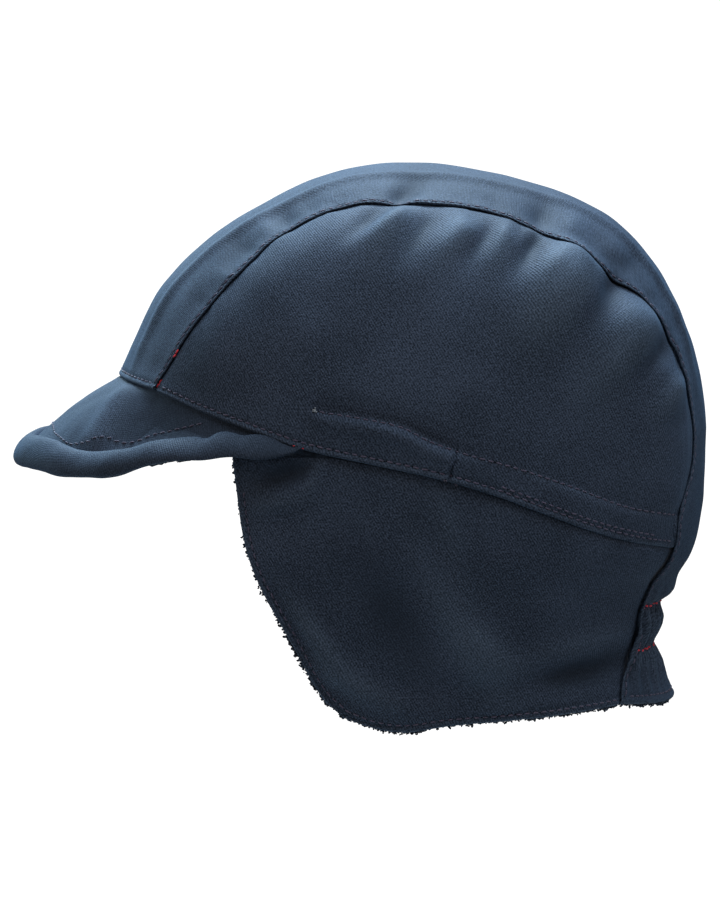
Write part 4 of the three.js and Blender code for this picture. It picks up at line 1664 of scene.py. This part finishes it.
def loose_end(spot, normal, end, draw):
    """The place and axes of one frayed end: dark ones hang down, pale ones stick out anyhow."""
    if end["kind"] == "thread":
        ahead = np.array([0, draw.normal() * 0.5, -1])
    else:
        ahead = draw.normal(size=3)
    ahead = unit(ahead - normal * (ahead @ normal) * 0.8)
    side = unit(np.cross(normal, ahead))
    size = end["length"] * draw.uniform(0.7, 1.2)
    return spot + normal * 0.1 * MM, np.array([ahead, side, np.cross(ahead, side)]) * size


def build_thread_ends(tree, draw):
    """The frayed ends of thread at the casing's start and its joint."""
    for kind in ("pale", "thread"):
        frames = []
        for end in THREAD_ENDS.named():
            if end["kind"] != kind:
                continue
            place = on_surface(np.full(end["count"], end["y"]), np.full(end["count"], end["z"]))
            landed = drop_onto(tree, place, outward(place))
            frames += [loose_end(*here, end, draw) for here in landed if here]
        strand = model_curl(1 * MM, 0.1 * MM, 1.1)
        copies("thread_ends_" + kind, [strand], frames, finish_of(kind))


def model_curl(length, radius, turn):
    """One curl of pile along X: a disc spun into a bent tube and drawn in at its tip."""
    curl = disc(5, radius)
    bend = length / turn
    bpy.ops.mesh.spin(steps=5, angle=turn, center=(0, 0, bend), axis=(0, -1, 0))
    tip = (bend * math.sin(turn), 0, bend * (1 - math.cos(turn)))
    bpy.ops.transform.resize(value=(0.7, 0.7, 0.7), center_override=tip)
    bpy.ops.mesh.select_all(action="SELECT")
    bpy.ops.mesh.remove_doubles(threshold=1e-7)
    bpy.ops.mesh.fill_holes(sides=0)
    bpy.ops.mesh.select_all(action="SELECT")
    bpy.ops.mesh.normals_make_consistent(inside=False)
    return take_shape(curl)


NAPE_CURLS = 420
PEAK_CURLS = 520
CURL_RADIUS = 0.52 * MM
CURL_TURNS = (1.6, 2.4, 3.1, 3.9, 4.6)  # radians through which the kinds of curl are bent
CURL_SWAY = 0.55  # how far a curl leans from the way past the edge


def grow(edge, count, draw, spread, lift):
    """Places and axes for curls along an edge of the lining."""
    line = edge["line"]
    run = running_length(line, 0)
    fuller_below = 0.35 + 0.65 * smoothstep(-line[:, 2], 62, 80)
    filled = np.cumsum(fuller_below * np.gradient(run))
    at = np.interp(draw.uniform(0, filled[-1], count), filled, run)
    clumps = 0.72 + 0.28 * np.sin(at / 2.3 + 3 * np.sin(at / 7.9))
    frames = []
    for where, full in zip(at, clumps):
        base, away, out = (read_along(edge[part], run, where) for part in ("line", "away", "out"))
        base = base + out * draw.normal() * spread + away * (lift + draw.uniform(-0.8, 0.3))
        along = unit(away + draw.normal(size=3) * CURL_SWAY)
        side = unit(np.cross(draw.normal(size=3), along))
        size = draw.uniform(0.55, 1.15) * full
        frames.append((to_frame(base), np.array([along, side, np.cross(along, side)]) * size))
    return frames


def build_tufts():
    """Curls of pile that stand past the edges of the cloth."""
    sizes = bpy.context.scene.cap_sizes
    draw = np.random.default_rng(9)
    frames = []
    left, right, nape = BIN["pile_edges"]
    for edge in (left, right):
        frames += grow(edge, sizes.tufts_per_side, draw, 0.9, 0.9)
    frames += grow(nape, NAPE_CURLS, draw, 0.9, 0.3)
    frames += grow(BIN["peak_pile_edge"], PEAK_CURLS, draw, 0.5, 0)
    draw.shuffle(frames)
    curls = [model_curl(sizes.tuft_length, CURL_RADIUS, turn) for turn in CURL_TURNS]
    copies("pile_curls", curls, frames, finish_of("tuft"))


CAMERA_AZIMUTH = 88.5
CAMERA_RISE = 5.0
CAMERA_DISTANCE = 1.6
PIXEL = 0.38  # millimetres of the middle plane in one pixel of a 720 by 900 picture
PICTURE_HEIGHT = 900
AIM = (0, -18.24, -7.63)  # millimetres about the head centre, at the picture's middle
SENSOR = 36.0


def build_camera():
    """A camera at the photograph's angle."""
    turn, rise = math.radians(CAMERA_AZIMUTH), math.radians(CAMERA_RISE)
    level = math.cos(rise)
    back = Vector((math.sin(turn) * level, -math.cos(turn) * level, math.sin(rise)))
    aim = Vector(to_frame(np.array(AIM)))
    data = bpy.data.cameras.new("camera")
    data.sensor_fit = "VERTICAL"
    data.sensor_height = SENSOR
    data.sensor_width = SENSOR
    data.lens = SENSOR * CAMERA_DISTANCE / (PICTURE_HEIGHT * PIXEL * MM)
    camera = bpy.data.objects.new("camera", data)
    camera.location = aim + back * CAMERA_DISTANCE
    camera.rotation_euler = (-back).to_track_quat("-Z", "Y").to_euler()
    bpy.context.scene.collection.objects.link(camera)
    bpy.context.scene.camera = camera


# The soft lamps: place and size in metres, power in watts, and tint.
LAMPS = Table(
    ("name", "place", "size", "power", "tint"),
    [
        ("main", (-0.56, 0.0, 1.0), 0.7, 43, (0.73, 0.91, 1.05)),
        ("back_top", (-0.05, 0.68, 0.98), 0.7, 5.5, (0.76, 0.91, 1.03)),
        ("front_top", (-0.98, -0.56, 0.56), 0.7, 9, (0.57, 0.84, 1.03)),
        ("front", (-0.65, -1.12, 0.03), 0.7, 4.5, (0.55, 0.82, 1)),
        ("front_side", (0.64, -1.11, 0.14), 0.7, 4.1, (1, 0.82, 0.72)),
        ("side", (0.5, 0.08, 1.12), 0.7, 9, (0.93, 0.95, 1)),
        ("near", (0.92, 0.53, 0.66), 0.9, 3, (1, 0.9, 0.86)),
        ("fill", (0.63, 1.09, 0.25), 0.9, 2.2, (1, 0.84, 0.76)),
    ],
)
LAMP_AIM = (0, 0, -0.09)


def soft_light(name, place, size, power, tint):
    """A square soft lamp that shines at the cap's middle."""
    data = bpy.data.lights.new(name, "AREA")
    data.shape = "RECTANGLE"
    data.size = size
    data.size_y = size
    data.energy = power
    data.color = tint
    lamp = bpy.data.objects.new(name, data)
    lamp.location = place
    way = Vector(LAMP_AIM) - Vector(place)
    lamp.rotation_euler = way.to_track_quat("-Z", "Y").to_euler()
    bpy.context.scene.collection.objects.link(lamp)


ALL_ROUND = {"Color": (1, 0.86, 0.6, 1), "Strength": 0.045}
SURROUND = {"Color": (1, 1, 1, 1), "Strength": 1.15}


def build_world():
    """Even pale light from all round, and a white surround for the camera."""
    world = bpy.data.worlds.new("studio")
    world.use_nodes = True
    tree = world.node_tree
    tree.nodes.clear()
    seen = add_node(tree, "ShaderNodeBackground", {}, SURROUND)
    light = add_node(tree, "ShaderNodeBackground", {}, ALL_ROUND)
    to_camera = add_node(tree, "ShaderNodeLightPath", output="Is Camera Ray")
    mix = add_node(tree, "ShaderNodeMixShader", {}, {0: to_camera, 1: light, 2: seen})
    output = tree.nodes.new("ShaderNodeOutputWorld")
    connect(tree, output.inputs[0], mix)
    bpy.context.scene.world = world


def build_floor():
    """A pale floor well below the cap, as a head or stand would hold it up."""
    bpy.ops.object.select_all(action="DESELECT")
    bpy.ops.mesh.primitive_plane_add(size=2.8, location=(0, 0, -1.2))
    floor = bpy.context.active_object
    floor.name = "floor"
    bpy.ops.object.transform_apply(location=True, rotation=True, scale=True)
    finish = Finish("studio_floor")
    grain = finish.noise(finish.place(), 3.0, 2.0)
    tint = bpy.context.scene.cap_colours.floor
    pale = finish.mix(grain, rgba(tint, 0.98), rgba(tint))
    finish.set(Base_Color=pale, Roughness=0.9)
    floor.data.materials.append(finish.material)


class CAP_OT_crown(bpy.types.Operator):
    """Model the centre strip and the two side panels"""

    bl_idname = "cap.crown"
    bl_label = "Crown"

    def execute(self, context):
        build_strip(finish_of("twill"))
        build_panel(1, "left", finish_of("twill"))
        build_panel(-1, "right", finish_of("twill"))
        return {"FINISHED"}


class CAP_OT_flaps(bpy.types.Operator):
    """Model the two ear flaps"""

    bl_idname = "cap.flaps"
    bl_label = "Ear flaps"

    def execute(self, context):
        build_flap(1, "left", finish_of("twill"))
        build_flap(-1, "right", finish_of("twill"))
        return {"FINISHED"}


class CAP_OT_peak(bpy.types.Operator):
    """Model the padded peak"""

    bl_idname = "cap.peak"
    bl_label = "Peak"

    def execute(self, context):
        build_peak(finish_of("twill"))
        return {"FINISHED"}


class CAP_OT_lining(bpy.types.Operator):
    """Model the pile behind the flaps, the nape and the peak"""

    bl_idname = "cap.lining"
    bl_label = "Pile lining"

    def execute(self, context):
        build_flap_lining(1, "left", finish_of("pile"))
        build_flap_lining(-1, "right", finish_of("pile"))
        build_nape_lining(finish_of("pile"))
        build_peak_lining(finish_of("pile"))
        return {"FINISHED"}


class CAP_OT_sewing(bpy.types.Operator):
    """Sew the topstitching and the red rows at the elastic"""

    bl_idname = "cap.sewing"
    bl_label = "Stitching"

    def execute(self, context):
        build_stitches()
        return {"FINISHED"}


class CAP_OT_tufts(bpy.types.Operator):
    """Grow the curls of pile at the cloth's edges"""

    bl_idname = "cap.tufts"
    bl_label = "Pile curls"

    def execute(self, context):
        build_tufts()
        return {"FINISHED"}


class CAP_OT_stage(bpy.types.Operator):
    """Set up the floor, the soft light and the camera"""

    bl_idname = "cap.stage"
    bl_label = "Stage"

    def execute(self, context):
        build_floor()
        build_world()
        for lamp in LAMPS.named():
            soft_light(**lamp)
        build_camera()
        context.scene.view_settings.view_transform = "Standard"
        return {"FINISHED"}


OPERATORS = (
    CAP_OT_crown,
    CAP_OT_flaps,
    CAP_OT_peak,
    CAP_OT_lining,
    CAP_OT_sewing,
    CAP_OT_tufts,
    CAP_OT_stage,
)


class CAP_PT_panel(bpy.types.Panel):
    """Lists the cap's sizes, colours and steps"""

    bl_idname = "CAP_PT_panel"
    bl_label = "Winter work cap"
    bl_space_type = "VIEW_3D"
    bl_region_type = "UI"
    bl_category = "Work cap"

    def draw(self, context):
        for group in (context.scene.cap_sizes, context.scene.cap_colours):
            box = self.layout.box()
            for key in group.__annotations__:
                box.prop(group, key)
        for step in OPERATORS:
            self.layout.operator(step.bl_idname)


CLASSES = (CapSizes, CapColours, *OPERATORS, CAP_PT_panel)


def register():
    for item in CLASSES:
        bpy.utils.register_class(item)
    bpy.types.Scene.cap_sizes = PointerProperty(type=CapSizes)
    bpy.types.Scene.cap_colours = PointerProperty(type=CapColours)


def unregister():
    del bpy.types.Scene.cap_colours
    del bpy.types.Scene.cap_sizes
    for item in reversed(CLASSES):
        bpy.utils.unregister_class(item)


def main():
    register()
    bpy.ops.object.select_all(action="DESELECT")
    bpy.ops.cap.crown()
    bpy.ops.cap.flaps()
    bpy.ops.cap.peak()
    bpy.ops.cap.lining()
    bpy.ops.cap.sewing()
    bpy.ops.cap.tufts()
    bpy.ops.cap.stage()


if __name__ == "__main__":
    main()
